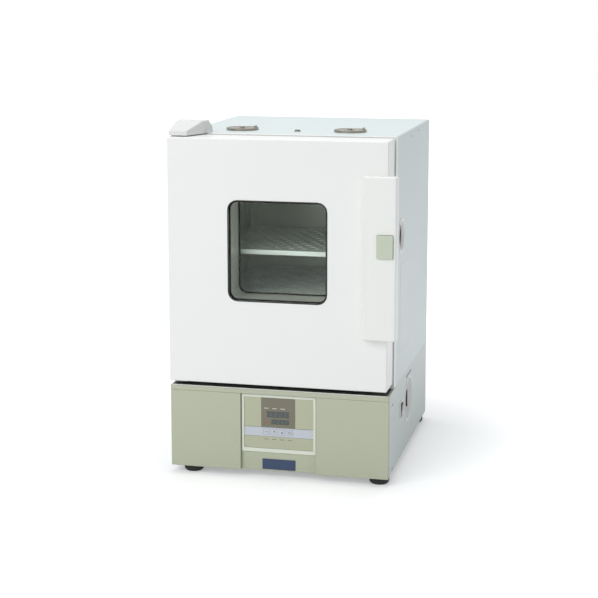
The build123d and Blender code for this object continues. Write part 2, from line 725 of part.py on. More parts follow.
def make_overheat_dial():
    """The overheat dial: a fluted knob with a raised grip across it, on its shaft."""
    lip = CABINET_X[1] + DISH_FLANGE
    floor = lip - DISH_DEPTH
    crown = CABINET_X[1] - DIAL_SINK
    shoulder = crown - DIAL_GRIP
    knob = from_side(disc((DIAL_Y, DIAL_Z), DIAL_RADIUS), (floor + 2 * SEAM, shoulder))
    for index in range(DIAL_FLUTES):
        turn = 2 * math.pi * (index + 0.5) / DIAL_FLUTES
        at = (DIAL_Y + DIAL_RADIUS * math.cos(turn), DIAL_Z + DIAL_RADIUS * math.sin(turn))
        knob -= from_side(disc(at, DIAL_FLUTE_RADIUS), (floor, crown))
    grip_z = around(DIAL_Z, 2 * (DIAL_RADIUS - DIAL_GRIP))
    grip = panel(around(DIAL_Y, DIAL_GRIP_WIDTH), grip_z, DIAL_GRIP)
    knob += from_side(grip, (shoulder, crown))
    shaft_end = floor - DISH_WALL - THERMOSTAT_NECK_RADIUS
    return knob + from_side(disc((DIAL_Y, DIAL_Z), DIAL_SHAFT_RADIUS), (shaft_end, floor + 2 * SEAM))


def make_overheat_thermostat():
    """The thermostat behind the dial, whose neck takes the dial's shaft."""
    front = CABINET_X[1] + DISH_FLANGE - DISH_DEPTH - DISH_WALL
    neck_back = front - THERMOSTAT_NECK_RADIUS - SHEET
    body_x = (neck_back - THERMOSTAT[2], neck_back)
    body = block(body_x, around(DIAL_Y, THERMOSTAT[0]), around(DIAL_Z, THERMOSTAT[1]))
    neck = from_side(disc((DIAL_Y, DIAL_Z), THERMOSTAT_NECK_RADIUS), (neck_back, front))
    bore_radius = DIAL_SHAFT_RADIUS + DIAL_SHAFT_GAP
    bore = from_side(disc((DIAL_Y, DIAL_Z), bore_radius), (neck_back, front + SHEET))
    return body + neck - bore


# Upper cabinet


def make_cabinet_floor():
    """The plate that closes the upper cabinet and stands on the base."""
    x = shrink(CABINET_X, SHEET + SEAM)
    return block(x, (SHELL_Y[0], CABINET_DEPTH - SHEET - 2 * SEAM), (BASE_Z[1], BASE_Z[1] + SHEET))


def make_front_frame():
    """The front frame round the chamber's mouth, with its edges folded back."""
    z = (BASE_Z[1], TOP_Z)
    y = (FRAME_Y, FRAME_Y + FRAME_DEPTH)
    outer = from_front(panel(CABINET_X, z, SHEET * 2), y)
    inner = block(shrink(CABINET_X, SHEET), (y[0] + SHEET, y[1] + SHEET), shrink(z, SHEET))
    mouth = from_front(panel(CHAMBER_X, CHAMBER_Z, MOUTH_CORNER), (y[0] - SHEET, y[0] + 2 * SHEET))
    return outer - inner - mouth


def make_outer_shell():
    """The sides and the top of the upper cabinet, bent from one sheet."""
    z = (BASE_Z[1], TOP_Z)
    outer = block(CABINET_X, SHELL_Y, z)
    outer = fillet(outer.edges().filter_by(Axis.Y).group_by(Axis.Z)[-1], TOP_BEND)
    inner = block(shrink(CABINET_X, SHEET), shrink(SHELL_Y, -SHEET), (z[0] - SHEET, z[1] - SHEET))
    inner = fillet(inner.edges().filter_by(Axis.Y).group_by(Axis.Z)[-1], TOP_BEND - SHEET)
    shell = outer - inner
    roof = (TOP_Z - 2 * SHEET, TOP_Z + SHEET)
    for x in VENTS_X:
        shell -= from_top(disc((x, VENT_Y), VENT_TUBE_RADIUS + SEAM), roof)
    shell -= from_top(disc((THERMO_X, THERMO_Y), THERMO_BORE_RADIUS + THERMO_WALL + SEAM), roof)
    right = (CABINET_X[1] - 2 * SHEET, CABINET_X[1] + SHEET)
    shell -= from_side(disc(PORT_AT, PORT_RADIUS + PORT_WALL + SEAM), right)
    return shell


def make_back_panel():
    """The rear cover of the upper cabinet, with its edges folded forwards."""
    x = shrink(CABINET_X, SHEET + SEAM)
    z = (BASE_Z[1] + SHEET + SEAM, TOP_Z - SHEET - SEAM)
    y = (CABINET_DEPTH - SHEET - REAR_FOLD, CABINET_DEPTH)
    outer = from_front(panel(x, z, TOP_BEND), y)
    return outer - block(shrink(x, SHEET), (y[0] - SHEET, y[1] - SHEET), shrink(z, SHEET))


def make_chamber_ceiling():
    """The stainless sheet that closes the chamber's top, with the holes for the vents."""
    x = shrink(CHAMBER_X, -LINER_SHEET)
    y = (LINER_FRONT, CHAMBER_BACK + LINER_SHEET)
    z = (CHAMBER_Z[1], CHAMBER_Z[1] + LINER_SHEET)
    ceiling = block(x, y, z)
    through = shrink(z, -LINER_SHEET)
    for vent_x in VENTS_X:
        ceiling -= from_top(disc((vent_x, VENT_Y), VENT_TUBE_RADIUS + SEAM), through)
    return ceiling - from_top(disc((THERMO_X, THERMO_Y), THERMO_BORE_RADIUS + THERMO_WALL + SEAM), through)


def make_chamber_liner():
    """The chamber's stainless sides, floor and rear, with the heaters' support strip."""
    x = CHAMBER_X
    y = (LINER_FRONT, CHAMBER_BACK)
    z = (LINER_FLOOR, CHAMBER_Z[1])
    outer = block(shrink(x, -LINER_SHEET), (y[0], y[1] + LINER_SHEET), (z[0] - LINER_SHEET, z[1]))
    inner = block(x, (y[0] - SHEET, y[1]), (z[0], z[1] + LINER_SHEET))
    strip_y = around(heater_front() + 2 * HEATER_LEG, SUPPORT_SHEET)
    strip_x = shrink(x, FLOOR_GAP + FLOOR_SHEET + HEATER_RADIUS)
    strip = block(strip_x, strip_y, (z[0], heater_z() + 2 * HEATER_RADIUS))
    for leg_x in heater_legs():
        strip -= from_front(disc((leg_x, heater_z()), HEATER_RADIUS + SEAM), shrink(strip_y, -SHEET))
    liner = outer - inner + strip
    right = (x[1] - LINER_SHEET, x[1] + 2 * LINER_SHEET)
    liner -= from_side(disc(PORT_AT, PORT_BORE_RADIUS + PORT_WALL + SEAM), right)
    rear = (y[1] - LINER_SHEET, y[1] + 2 * LINER_SHEET)
    for leg_x in heater_legs():
        liner -= from_front(disc((leg_x, heater_z()), HEATER_RADIUS + SEAM), rear)
    liner -= from_front(disc(probe_at(), PROBE_RADIUS + SEAM), rear)
    return liner


def make_insulation():
    """The mineral wool round the chamber, cut out for the tubes and the heater terminals."""
    x = shrink(CABINET_X, SHEET + SEAM)
    y = (LINER_FRONT, CHAMBER_BACK + LINER_SHEET + REAR_INSULATION)
    z = (BASE_Z[1] + SHEET + SEAM, TOP_Z - SHEET - SEAM)
    wool = block(x, y, z)
    wool = fillet(wool.edges().filter_by(Axis.Y).group_by(Axis.Z)[-1], TOP_BEND)
    room = 2 * SEAM + LINER_SHEET
    room_z = (LINER_FLOOR - room, CHAMBER_Z[1] + room)
    wool -= block(shrink(CHAMBER_X, -room), (y[0] - SHEET, CHAMBER_BACK + room), room_z)
    above = (CHAMBER_Z[1], TOP_Z)
    for vent_x in VENTS_X:
        wool -= from_top(disc((vent_x, VENT_Y), VENT_TUBE_RADIUS + SEAM), above)
    wool -= from_top(disc((THERMO_X, THERMO_Y), THERMO_BORE_RADIUS + THERMO_WALL + SEAM), above)
    right = (CHAMBER_X[1], CABINET_X[1])
    wool -= from_side(disc(PORT_AT, PORT_RADIUS + PORT_WALL + SEAM), right)
    rear = (CHAMBER_BACK, y[1] + SHEET)
    legs = heater_legs()
    channel = panel(
        (min(legs) - 2 * HEATER_BEAD_RADIUS, max(legs) + 2 * HEATER_BEAD_RADIUS),
        around(heater_z(), 3 * HEATER_BEAD_RADIUS),
    )
    wool -= from_front(channel, rear)
    wool -= from_front(disc(probe_at(), PROBE_NUT_RADIUS + SEAM), rear)
    return wool


def make_vent_collar(x):
    """A vent's tube through the top, its flange with two openings and its raised rim."""
    inner = VENT_TUBE_RADIUS - VENT_TUBE_WALL
    plate_top = TOP_Z + VENT_PLATE
    points = [
        (0, TOP_Z),
        (inner, TOP_Z),
        (inner, CHAMBER_Z[1]),
        (VENT_TUBE_RADIUS, CHAMBER_Z[1]),
        (VENT_TUBE_RADIUS, TOP_Z),
        (VENT_RADIUS, TOP_Z),
        (VENT_RADIUS, TOP_Z + VENT_RIM),
        (VENT_RADIUS - VENT_RIM_WALL, TOP_Z + VENT_RIM),
        (VENT_RADIUS - VENT_RIM_WALL, plate_top),
        (0, plate_top),
    ]
    collar = turned(points, (x, VENT_Y))
    for side in (0, 180):
        collar -= vent_sector(x, side, (TOP_Z - SHEET, plate_top + SHEET))
    pin = from_top(disc((x, VENT_Y), DAMPER_PIN_RADIUS), (plate_top, damper_z()[1] + DAMPER_BOSS / 2))
    return collar + pin


def vent_sector(x, turn, z):
    """A cutter for one fan-shaped opening of a vent or its damper."""
    inner, outer = VENT_SECTOR_RADII
    ring = from_top(Circle(outer) - Circle(inner), z)
    reach = 2 * outer
    half = math.radians(VENT_SECTOR / 2)
    side = reach * math.tan(half)
    wedge = make_face(Polyline((0, 0), (reach, -side), (reach, side), close=True))
    return Pos(x, VENT_Y, 0) * (Rot(0, 0, turn) * (ring & from_top(wedge, z)))


def damper_z():
    """The limits in Z of the damper's disc."""
    low = TOP_Z + VENT_PLATE + DAMPER_GAP
    return (low, low + DAMPER_SHEET)


def make_vent_damper(x):
    """The turning disc that opens and shuts a vent, with a boss and a finger tab."""
    z = damper_z()
    radius = VENT_RADIUS - VENT_RIM_WALL - DAMPER_GAP
    damper = from_top(disc((x, VENT_Y), radius), z)
    for side in (90, 270):
        damper -= vent_sector(x, side, shrink(z, -SHEET))
    damper += from_top(disc((x, VENT_Y), DAMPER_BOSS_RADIUS), (z[1], z[1] + DAMPER_BOSS))
    bore_z = (z[0] - SHEET, z[1] + DAMPER_BOSS / 2 + DAMPER_GAP)
    damper -= from_top(disc((x, VENT_Y), DAMPER_PIN_RADIUS + PIN_CLEARANCE), bore_z)
    tab_x = around(x + radius - DAMPER_TAB[0] - DAMPER_GAP, DAMPER_TAB[0])
    return damper + block(tab_x, around(VENT_Y, DAMPER_TAB[1]), (z[1], z[1] + DAMPER_TAB[2]))


def make_thermometer_sleeve():
    """The narrow tube for a thermometer through the top."""
    points = [
        (THERMO_BORE_RADIUS, CHAMBER_Z[1]),
        (THERMO_BORE_RADIUS + THERMO_WALL, CHAMBER_Z[1]),
        (THERMO_BORE_RADIUS + THERMO_WALL, TOP_Z),
        (THERMO_BORE_RADIUS + THERMO_WALL + THERMO_FLANGE_WIDTH, TOP_Z),
        (THERMO_BORE_RADIUS + THERMO_WALL + THERMO_FLANGE_WIDTH, TOP_Z + THERMO_WALL),
        (THERMO_BORE_RADIUS, TOP_Z + THERMO_WALL),
    ]
    return turned(points, (THERMO_X, THERMO_Y))


def make_thermometer_plug():
    """The rubber plug in the thermometer tube."""
    seat = TOP_Z + THERMO_WALL
    stem = THERMO_BORE_RADIUS - SEAM
    points = [
        (0, seat - THERMO_STEM),
        (stem - THERMO_TAPER, seat - THERMO_STEM),
        (stem, seat),
        (THERMO_HEAD_RADIUS, seat),
        (THERMO_HEAD_RADIUS - THERMO_TAPER, seat + THERMO_HEAD),
        (0, seat + THERMO_HEAD),
    ]
    return turned(points, (THERMO_X, THERMO_Y))


def make_port_sleeve():
    """The cable port's sleeve through the right side, dished at its outer end."""
    face = CABINET_X[1]
    lip = face + PORT_FLANGE
    points = [
        (CHAMBER_X[1], PORT_BORE_RADIUS),
        (lip - PORT_DISH, PORT_BORE_RADIUS),
        (lip, PORT_RADIUS),
        (lip, PORT_RADIUS + PORT_WALL + PORT_FLANGE_WIDTH),
        (face, PORT_RADIUS + PORT_WALL + PORT_FLANGE_WIDTH),
        (face, PORT_RADIUS + PORT_WALL),
        (lip - PORT_DISH - PORT_WALL, PORT_BORE_RADIUS + PORT_WALL),
        (CHAMBER_X[1], PORT_BORE_RADIUS + PORT_WALL),
    ]
    return turned_sideways(points, PORT_AT)


def make_port_plug():
    """The rubber plug in the cable port, with a finger hole in its outer face."""
    outside = CABINET_X[1] + PORT_FLANGE - PORT_PLUG_SINK
    radius = PORT_BORE_RADIUS - PORT_PLUG_GAP
    points = [
        (CHAMBER_X[1], 0),
        (CHAMBER_X[1], radius - PORT_PLUG_TAPER),
        (outside - PORT_DISH, radius),
        (outside, radius),
        (outside, radius / 2),
        (outside - PORT_DISH, radius / 2),
        (outside - PORT_DISH, 0),
    ]
    return turned_sideways(points, PORT_AT)


# Chamber fittings


def heater_z():
    """The height of the heater rods' centre line."""
    return LINER_FLOOR + HEATER_LIFT


def heater_centres():
    """The middle of each heater hairpin, the outer two at a set gap from the side walls."""
    outer = CHAMBER_X[1] - HEATER_SIDE_GAP - HEATER_LEG
    return [-outer, 0, outer]


def heater_legs():
    """The X place of every straight heater leg."""
    return [centre + side * HEATER_LEG for centre in heater_centres() for side in (-1, 1)]


def heater_front():
    """Where the straight legs end and the bend begins."""
    return LINER_FRONT + HEATER_FRONT_GAP + HEATER_LEG + HEATER_RADIUS


def make_heaters():
    """Three hairpin rod heaters, each with its beads and terminal stubs behind the chamber."""
    back = CHAMBER_BACK + LINER_SHEET
    section = RegularPolygon(HEATER_RADIUS, HEATER_SECTION_SIDES)
    rods = []
    for centre in heater_centres():
        bend_axis = Axis((centre, heater_front(), heater_z()), (0, 0, 1))
        start = Plane((centre + HEATER_LEG, heater_front(), heater_z()), x_dir=(1, 0, 0), z_dir=(0, 1, 0))
        hairpin = revolve(start * section, bend_axis, -180)
        for side in (-1, 1):
            at = (centre + side * HEATER_LEG, heater_z())
            hairpin += from_front(Pos(*at) * section, (heater_front(), back + HEATER_TERMINAL))
            hairpin += from_front(disc(at, HEATER_BEAD_RADIUS), (back, back + HEATER_BEAD_LENGTH))
        rods.append(hairpin)
    return group(rods)


def make_floor_plate():
    """The slotted false floor over the heaters, standing on its folded sides."""
    x = shrink(CHAMBER_X, FLOOR_GAP)
    y = (LINER_FRONT + FLOOR_GAP, CHAMBER_BACK - FLOOR_REAR_GAP)
    z = (LINER_FLOOR, CHAMBER_Z[0])
    under = (z[0] - SHEET, z[1] - FLOOR_SHEET)
    plate = block(x, y, z) - block(shrink(x, FLOOR_SHEET), shrink(y, -SHEET), under)
    columns = int((x[1] - x[0] - FLOOR_SLOT[0]) // FLOOR_SLOT_PITCH[0])
    rows = int((y[1] - y[0] - 2 * FLOOR_SLOT[1]) // FLOOR_SLOT_PITCH[1])
    slots = [
        Pos(middle(x) + column, middle(y) + row) * Rectangle(*FLOOR_SLOT)
        for column in spread(columns, FLOOR_SLOT_PITCH[0])
        for row in spread(rows, FLOOR_SLOT_PITCH[1])
    ]
    return plate - from_top(Sketch() + slots, (z[1] - 2 * FLOOR_SHEET, z[1] + FLOOR_SHEET))


def make_shelf(top):
    """A perforated shelf plate with its four edges folded down."""
    z = (top - SHELF_RIM, top)
    plate = block(SHELF_X, SHELF_Y, z)
    plate = fillet(plate.edges().filter_by(Axis.X).group_by(Axis.Z)[-1], SHELF_SHEET)
    under = (z[0] - SHEET, z[1] - SHELF_SHEET)
    plate -= block(shrink(SHELF_X, SHELF_SHEET), shrink(SHELF_Y, SHELF_SHEET), under)
    row_pitch = SHELF_PITCH * math.sqrt(3) / 2
    wide = SHELF_X[1] - SHELF_X[0] - 2 * SHELF_MARGIN
    deep = SHELF_Y[1] - SHELF_Y[0] - 2 * SHELF_MARGIN
    columns = int(wide // SHELF_PITCH) + 1
    rows = int(deep // row_pitch) + 1
    holes = []
    for row, y in enumerate(spread(rows, row_pitch)):
        for x in spread(columns - row % 2, SHELF_PITCH):
            hole = RegularPolygon(SHELF_HOLE_RADIUS, 6)
            holes.append(Pos(middle(SHELF_X) + x, middle(SHELF_Y) + y) * hole)
    return plate - from_top(Sketch() + holes, (top - 2 * SHELF_SHEET, top + SHELF_SHEET))


def make_shelf_rails():
    """The four slotted uprights on the chamber's side walls, as separate solids."""
    z = shrink(CHAMBER_Z, RAIL_END_GAP)
    count = int((z[1] - z[0] - RAIL_SLOT[1]) // RAIL_SLOT_PITCH) + 1
    left = (CHAMBER_X[0], CHAMBER_X[0] + RAIL_THICKNESS)
    right = (CHAMBER_X[1] - RAIL_THICKNESS, CHAMBER_X[1])
    heights = [middle(z) + step for step in spread(count, RAIL_SLOT_PITCH)]
    rails = []
    for y in RAIL_Y:
        across = y + RAIL_WIDTH / 2
        slots = Sketch() + [Pos(across, height) * Rectangle(*RAIL_SLOT) for height in heights]
        for x, face in ((left, left[1]), (right, right[0])):
            rails.append(block(x, (y, y + RAIL_WIDTH), z) - from_side(slots, around(face, RAIL_THICKNESS)))
    return group(rails)


def make_shelf_clips():
    """The bent clips on the uprights that carry both shelves, as separate solids."""
    clips = []
    for top in SHELF_TOPS:
        seat = top - SHELF_RIM - CLIP_GAP
        for side in (-1, 1):
            wall = CHAMBER_X[0] + RAIL_THICKNESS if side < 0 else CHAMBER_X[1] - RAIL_THICKNESS
            outline = Polyline(
                (wall, seat - CLIP_HEIGHT - CLIP_REACH / 2),
                (wall, seat),
                (wall - side * CLIP_REACH, seat),
                (wall - side * CLIP_REACH, seat - CLIP_HEIGHT / 2),
                (wall - side * CLIP_HEIGHT / 2, seat - CLIP_HEIGHT - CLIP_REACH / 2),
                close=True,
            )
            for y in RAIL_Y:
                clips.append(from_front(make_face(outline), (y, y + RAIL_WIDTH)))
    return group(clips)


def probe_at():
    """The probe's place in the rear wall, as (x, z)."""
    return (CHAMBER_X[1] - PROBE_FROM_SIDE, CHAMBER_Z[1] - PROBE_FROM_CEILING)


def make_temperature_probe():
    """The sensor rod through the rear wall, with a nut on each side of the sheet."""
    back = CHAMBER_BACK + LINER_SHEET
    rod = from_front(disc(probe_at(), PROBE_RADIUS), (CHAMBER_BACK - PROBE_LENGTH, back + 3 * PROBE_NUT))
    hexagon = Pos(*probe_at()) * RegularPolygon(PROBE_NUT_RADIUS, 6)
    rod += from_front(hexagon, (CHAMBER_BACK - PROBE_NUT, CHAMBER_BACK))
    return rod + from_front(hexagon, (back, back + PROBE_NUT))


def make_door_gasket():
    """The soft gasket round the chamber's mouth, with a rounded front."""
    y = (DOOR_Y[1] + SEAM, FRAME_Y)
    inner_x = shrink(CHAMBER_X, -GASKET_OFFSET)
    inner_z = shrink(CHAMBER_Z, -GASKET_OFFSET)
    outer_x = shrink(inner_x, -GASKET_WIDTH)
    outer_z = shrink(inner_z, -GASKET_WIDTH)
    outer = from_front(panel(outer_x, outer_z, MOUTH_CORNER + GASKET_WIDTH), y)
    inner = from_front(panel(inner_x, inner_z, MOUTH_CORNER), shrink(y, -SHEET))
    ring = outer - inner
    return chamfer(ring.faces().sort_by(Axis.Y)[0].edges(), GASKET_ROUND)


# Hinges


def make_hinge_bracket_top():
    """The upper hinge plate on the cabinet's top, with the pin that hangs into the door."""
    x = (DOOR_X[0] + TOP_BEND, DOOR_X[0] + TOP_BEND + BRACKET_WIDTH)
    y = (HINGE_Y - PIN_RADIUS - BRACKET, FRAME_Y + TOP_BRACKET_REACH)
    z = (TOP_Z, TOP_Z + BRACKET)
    plate = block(x, y, z)
    plate = fillet(plate.edges().filter_by(Axis.Z).group_by(Axis.Y)[0], PIN_RADIUS)
    pin = from_top(disc((HINGE_X, HINGE_Y), PIN_RADIUS), (DOOR_Z[1] - PIN_LENGTH, TOP_Z))
    return plate + pin


def make_hinge_bracket_bottom():
    """The lower hinge bracket on the front frame, with the pin that carries the door."""
    x = (DOOR_X[0] + TOP_BEND, DOOR_X[0] + TOP_BEND + BRACKET_WIDTH)
    y = (HINGE_Y - PIN_RADIUS - BRACKET, FRAME_Y)
    top = DOOR_Z[0] - BUSH_FLANGE - SEAM
    plate = block(x, y, (top - BRACKET, top))
    plate = fillet(plate.edges().filter_by(Axis.Z).group_by(Axis.Y)[0], PIN_RADIUS)
    flange = block(x, (FRAME_Y - BRACKET, FRAME_Y), (BASE_Z[1], top))
    pin = from_top(disc((HINGE_X, HINGE_Y), PIN_RADIUS), (top, DOOR_Z[0] + PIN_LENGTH))
    return plate + flange + pin


def make_hinge_bushes():
    """The two flanged bushes in the door's top and bottom edges."""
    bore = PIN_RADIUS + PIN_CLEARANCE
    outer = bore + BUSH_WALL
    flange = outer + BUSH_FLANGE_WIDTH
    reach = PIN_LENGTH + 2 * SEAM
    upper = [
        (bore, DOOR_Z[1] - reach),
        (outer, DOOR_Z[1] - reach),
        (outer, DOOR_Z[1]),
        (flange, DOOR_Z[1]),
        (flange, DOOR_Z[1] + BUSH_FLANGE),
        (bore, DOOR_Z[1] + BUSH_FLANGE),
    ]
    lower = [
        (bore, DOOR_Z[0] + reach),
        (outer, DOOR_Z[0] + reach),
        (outer, DOOR_Z[0]),
        (flange, DOOR_Z[0]),
        (flange, DOOR_Z[0] - BUSH_FLANGE),
        (bore, DOOR_Z[0] - BUSH_FLANGE),
    ]
    at = (HINGE_X, HINGE_Y)
    return group([turned(upper, at), turned(lower, at)])


def hinge_cover_form(inset):
    """The cover's outside, or its hollow when set in by the wall."""
    left = DOOR_X[0]
    front = COVER_RIDGE_Y - COVER_FRONT_OVERHANG
    back = COVER_RIDGE_Y + COVER_REACH
    side = Polyline(
        (front + inset, TOP_Z + (SEAM if inset == 0 else -SHEET)),
        (front + inset, TOP_Z + COVER_FRONT_HEIGHT - inset),
        (COVER_RIDGE_Y - COVER_REACH / 3, TOP_Z + COVER_RIDGE_HEIGHT - inset),
        (COVER_RIDGE_Y + COVER_REACH / 3, TOP_Z + COVER_RIDGE_HEIGHT - inset),
        (back - inset, TOP_Z + COVER_FRONT_HEIGHT - inset),
        (back - inset, TOP_Z + (SEAM if inset == 0 else -SHEET)),
        close=True,
    )
    body = from_side(make_face(side), (left + inset, left + COVER_REAR_WIDTH))
    plan = Polyline(
        (left + inset, front + inset),
        (left + COVER_FRONT_WIDTH - inset, front + inset),
        (left + COVER_REAR_WIDTH - inset, COVER_RIDGE_Y),
        (left + COVER_REAR_WIDTH - inset, back - inset),
        (left + inset, back - inset),
        close=True,
    )
    return body & from_top(make_face(plan), (TOP_Z - 2 * SHEET, TOP_Z + 2 * COVER_RIDGE_HEIGHT))


def make_hinge_cover():
    """The moulded cover over the upper hinge: low at the front, high over the cabinet's edge."""
    outer = hinge_cover_form(0)
    top = outer.edges().filter_by(lambda edge: edge.center().Z > TOP_Z + SEAM + SHEET)
    outer = fillet(top, COVER_ROUND)
    return outer - hinge_cover_form(COVER_WALL)


# Door


def make_door_shell():
    """The door's painted outer pan, with the window opening and the holes it needs."""
    outer = from_front(panel(DOOR_X, DOOR_Z, DOOR_BEND), DOOR_Y)
    outer = fillet(outer.faces().sort_by(Axis.Y)[0].edges(), DOOR_EDGE_ROUND)
    inner = block(shrink(DOOR_X, SHEET), (DOOR_Y[0] + SHEET, DOOR_Y[1] + SHEET), shrink(DOOR_Z, SHEET))
    shell = outer - inner
    through = (DOOR_Y[0] - SHEET, DOOR_Y[0] + 2 * SHEET)
    shell -= from_front(panel(WINDOW_SPAN_X, WINDOW_SPAN_Z, WINDOW_CORNER), through)
    shell -= from_front(disc((ROD_X, BUTTON_Z), ROD_RADIUS + ROD_GAP), through)
    bush = PIN_RADIUS + PIN_CLEARANCE + BUSH_WALL
    shell -= from_top(disc((HINGE_X, HINGE_Y), bush), shrink(DOOR_Z, -SHEET))
    return shell


def tunnel_span(out):
    """The window tunnel's limits in X and Z, moved out from the opening."""
    return shrink(WINDOW_SPAN_X, -out), shrink(WINDOW_SPAN_Z, -out), WINDOW_CORNER + out


def make_door_liner():
    """The stainless back of the door with its raised plug, pressed from one sheet."""
    plate_x = shrink(DOOR_X, SHEET + SEAM)
    plate_z = shrink(DOOR_Z, SHEET + SEAM)
    plate = from_front(panel(plate_x, plate_z, DOOR_BEND), (DOOR_Y[1] - LINER_SHEET, DOOR_Y[1]))
    plug = from_front(panel(PLUG_X, PLUG_Z, PLUG_CORNER), (PLUG_Y[0] - LINER_SHEET, PLUG_Y[1]))
    plug = fillet(plug.faces().sort_by(Axis.Y)[-1].edges(), 3 * LINER_SHEET)
    hollow = from_front(
        panel(shrink(PLUG_X, LINER_SHEET), shrink(PLUG_Z, LINER_SHEET), PLUG_CORNER - LINER_SHEET),
        (PLUG_Y[0] - 2 * LINER_SHEET, PLUG_Y[1] - LINER_SHEET),
    )
    liner = plate + plug - hollow
    x, z, corner = tunnel_span(TUNNEL_SETBACK - LIP)
    liner -= from_front(panel(x, z, corner), (PLUG_Y[0], PLUG_Y[1] + LINER_SHEET))
    rod_hole = disc((ROD_X, BUTTON_Z), ROD_RADIUS + ROD_GAP)
    return liner - from_front(rod_hole, (DOOR_Y[1] - 2 * LINER_SHEET, DOOR_Y[1] + LINER_SHEET))


def make_window_tunnel():
    """The bright sleeve between the door's outer opening and the inner pane."""
    y = (DOOR_Y[0] + SHEET, PLUG_Y[1] - LINER_SHEET)
    x, z, corner = tunnel_span(TUNNEL_SETBACK + TUNNEL_WALL)
    outer = from_front(panel(x, z, corner), y)
    x, z, corner = tunnel_span(TUNNEL_SETBACK)
    return outer - from_front(panel(x, z, corner), shrink(y, -SHEET))


def make_pane(y):
    """A glass pane inside the tunnel."""
    x, z, corner = tunnel_span(TUNNEL_SETBACK - GLASS_SIDE_GAP)
    return from_front(panel(x, z, corner), y)


def make_pane_seals():
    """The rubber strips round the tunnel that hold the two panes."""
    x, z, corner = tunnel_span(TUNNEL_SETBACK - GLASS_SIDE_GAP)
    opening = panel(shrink(x, SEAL_HEIGHT), shrink(z, SEAL_HEIGHT), corner - SEAL_HEIGHT)
    behind_outer = outer_pane_y()[1]
    behind_inner = inner_pane_y()[1]
    seals = []
    for y in ((behind_outer, behind_outer + SEAL_DEPTH), (behind_inner, PLUG_Y[1] - LINER_SHEET)):
        seals.append(from_front(panel(x, z, corner), y) - from_front(opening, shrink(y, -SHEET)))
    return group(seals)


def outer_pane_y():
    """The limits in Y of the outer pane, just behind the door's sheet."""
    return (DOOR_Y[0] + SHEET, DOOR_Y[0] + SHEET + GLASS)


def inner_pane_y():
    """The limits in Y of the inner pane, held against the plug's lip by its seal."""
    back = PLUG_Y[1] - LINER_SHEET - SEAL_DEPTH / 2
    return (back - GLASS, back)


def make_door_insulation():
    """The mineral wool in the door, round the window tunnel, the bushes and the latch rod."""
    wool_y = (DOOR_Y[0] + SHEET + SEAM, DOOR_Y[1] - LINER_SHEET - SEAM)
    wool = block(shrink(DOOR_X, SHEET + SEAM), wool_y, shrink(DOOR_Z, SHEET + SEAM))
    fill = from_front(
        panel(shrink(PLUG_X, LINER_SHEET + SEAM), shrink(PLUG_Z, LINER_SHEET + SEAM), PLUG_CORNER),
        (DOOR_Y[1] - PLUG_DEPTH, PLUG_Y[1] - 3 * LINER_SHEET),
    )
    wool += fill
    x, z, corner = tunnel_span(TUNNEL_SETBACK + TUNNEL_WALL + SEAM)
    wool -= from_front(panel(x, z, corner), (DOOR_Y[0], PLUG_Y[1] + SHEET))
    wool -= from_front(disc((ROD_X, BUTTON_Z), ROD_RADIUS + 2 * ROD_GAP), shrink(DOOR_Y, -SHEET))
    pocket = PIN_RADIUS + PIN_CLEARANCE + BUSH_WALL + SEAM
    depth = PIN_LENGTH + 4 * SEAM
    wool -= from_top(disc((HINGE_X, HINGE_Y), pocket), (DOOR_Z[1] - depth, DOOR_Z[1]))
    return wool - from_top(disc((HINGE_X, HINGE_Y), pocket), (DOOR_Z[0], DOOR_Z[0] + depth))


def handle_profile(inset):
    """The handle's section seen from above, or its hollow when set in by the wall."""
    lean = inset * HANDLE_SLOPE / HANDLE_PROUD
    points = (
        (HANDLE_X[0] + inset + lean, DOOR_Y[0] - inset),
        (HANDLE_X[0] + HANDLE_SLOPE + inset, HANDLE_FRONT + inset),
        (HANDLE_X[1] - inset, HANDLE_FRONT + inset),
        (HANDLE_X[1] - inset, DOOR_Y[0] - inset),
    )
    return make_face(Polyline(*points, close=True))


def make_handle():
    """The hollow grip plate that overhangs the door's edge, with the button's opening."""
    grip = from_top(handle_profile(0), HANDLE_Z)
    right_front = grip.edges().filter_by(Axis.Z).sort_by(lambda edge: edge.center().X - edge.center().Y)[-1]
    grip = fillet(right_front, HANDLE_ROUND)
    front_face = grip.faces().sort_by(Axis.Y)[0]
    grip = fillet(front_face.edges().filter_by(Axis.X), HANDLE_ROUND / 2)
    hollow = from_top(handle_profile(HANDLE_WALL), shrink(HANDLE_Z, HANDLE_WALL))
    on_door = (HANDLE_X[0] + HANDLE_SLOPE, DOOR_X[1] - HANDLE_WALL)
    mouth = block(on_door, (DOOR_Y[0] - 2 * HANDLE_WALL, DOOR_Y[0] + SHEET), shrink(HANDLE_Z, HANDLE_WALL))
    across = around(BUTTON_X, BUTTON_WIDTH + 2 * BUTTON_GAP)
    up = around(BUTTON_Z, BUTTON_HEIGHT + 2 * BUTTON_GAP)
    opening_y = (HANDLE_FRONT - SHEET, HANDLE_FRONT + 2 * HANDLE_WALL)
    return grip - hollow - mouth - from_front(panel(across, up, HANDLE_WALL), opening_y)


def make_latch_button():
    """The push button and the rod that reaches through the door to push it off its magnet."""
    y = (HANDLE_FRONT - BUTTON_PROUD, HANDLE_FRONT - BUTTON_PROUD + BUTTON_DEPTH)
    cap = from_front(panel(around(BUTTON_X, BUTTON_WIDTH), around(BUTTON_Z, BUTTON_HEIGHT), HANDLE_WALL), y)
    cap = fillet(cap.faces().sort_by(Axis.Y)[0].edges(), BUTTON_EDGE_ROUND)
    tip = FRAME_Y - BUTTON_TRAVEL - ROD_STOP_GAP
    return cap + from_front(disc((ROD_X, BUTTON_Z), ROD_RADIUS), (y[1], tip))


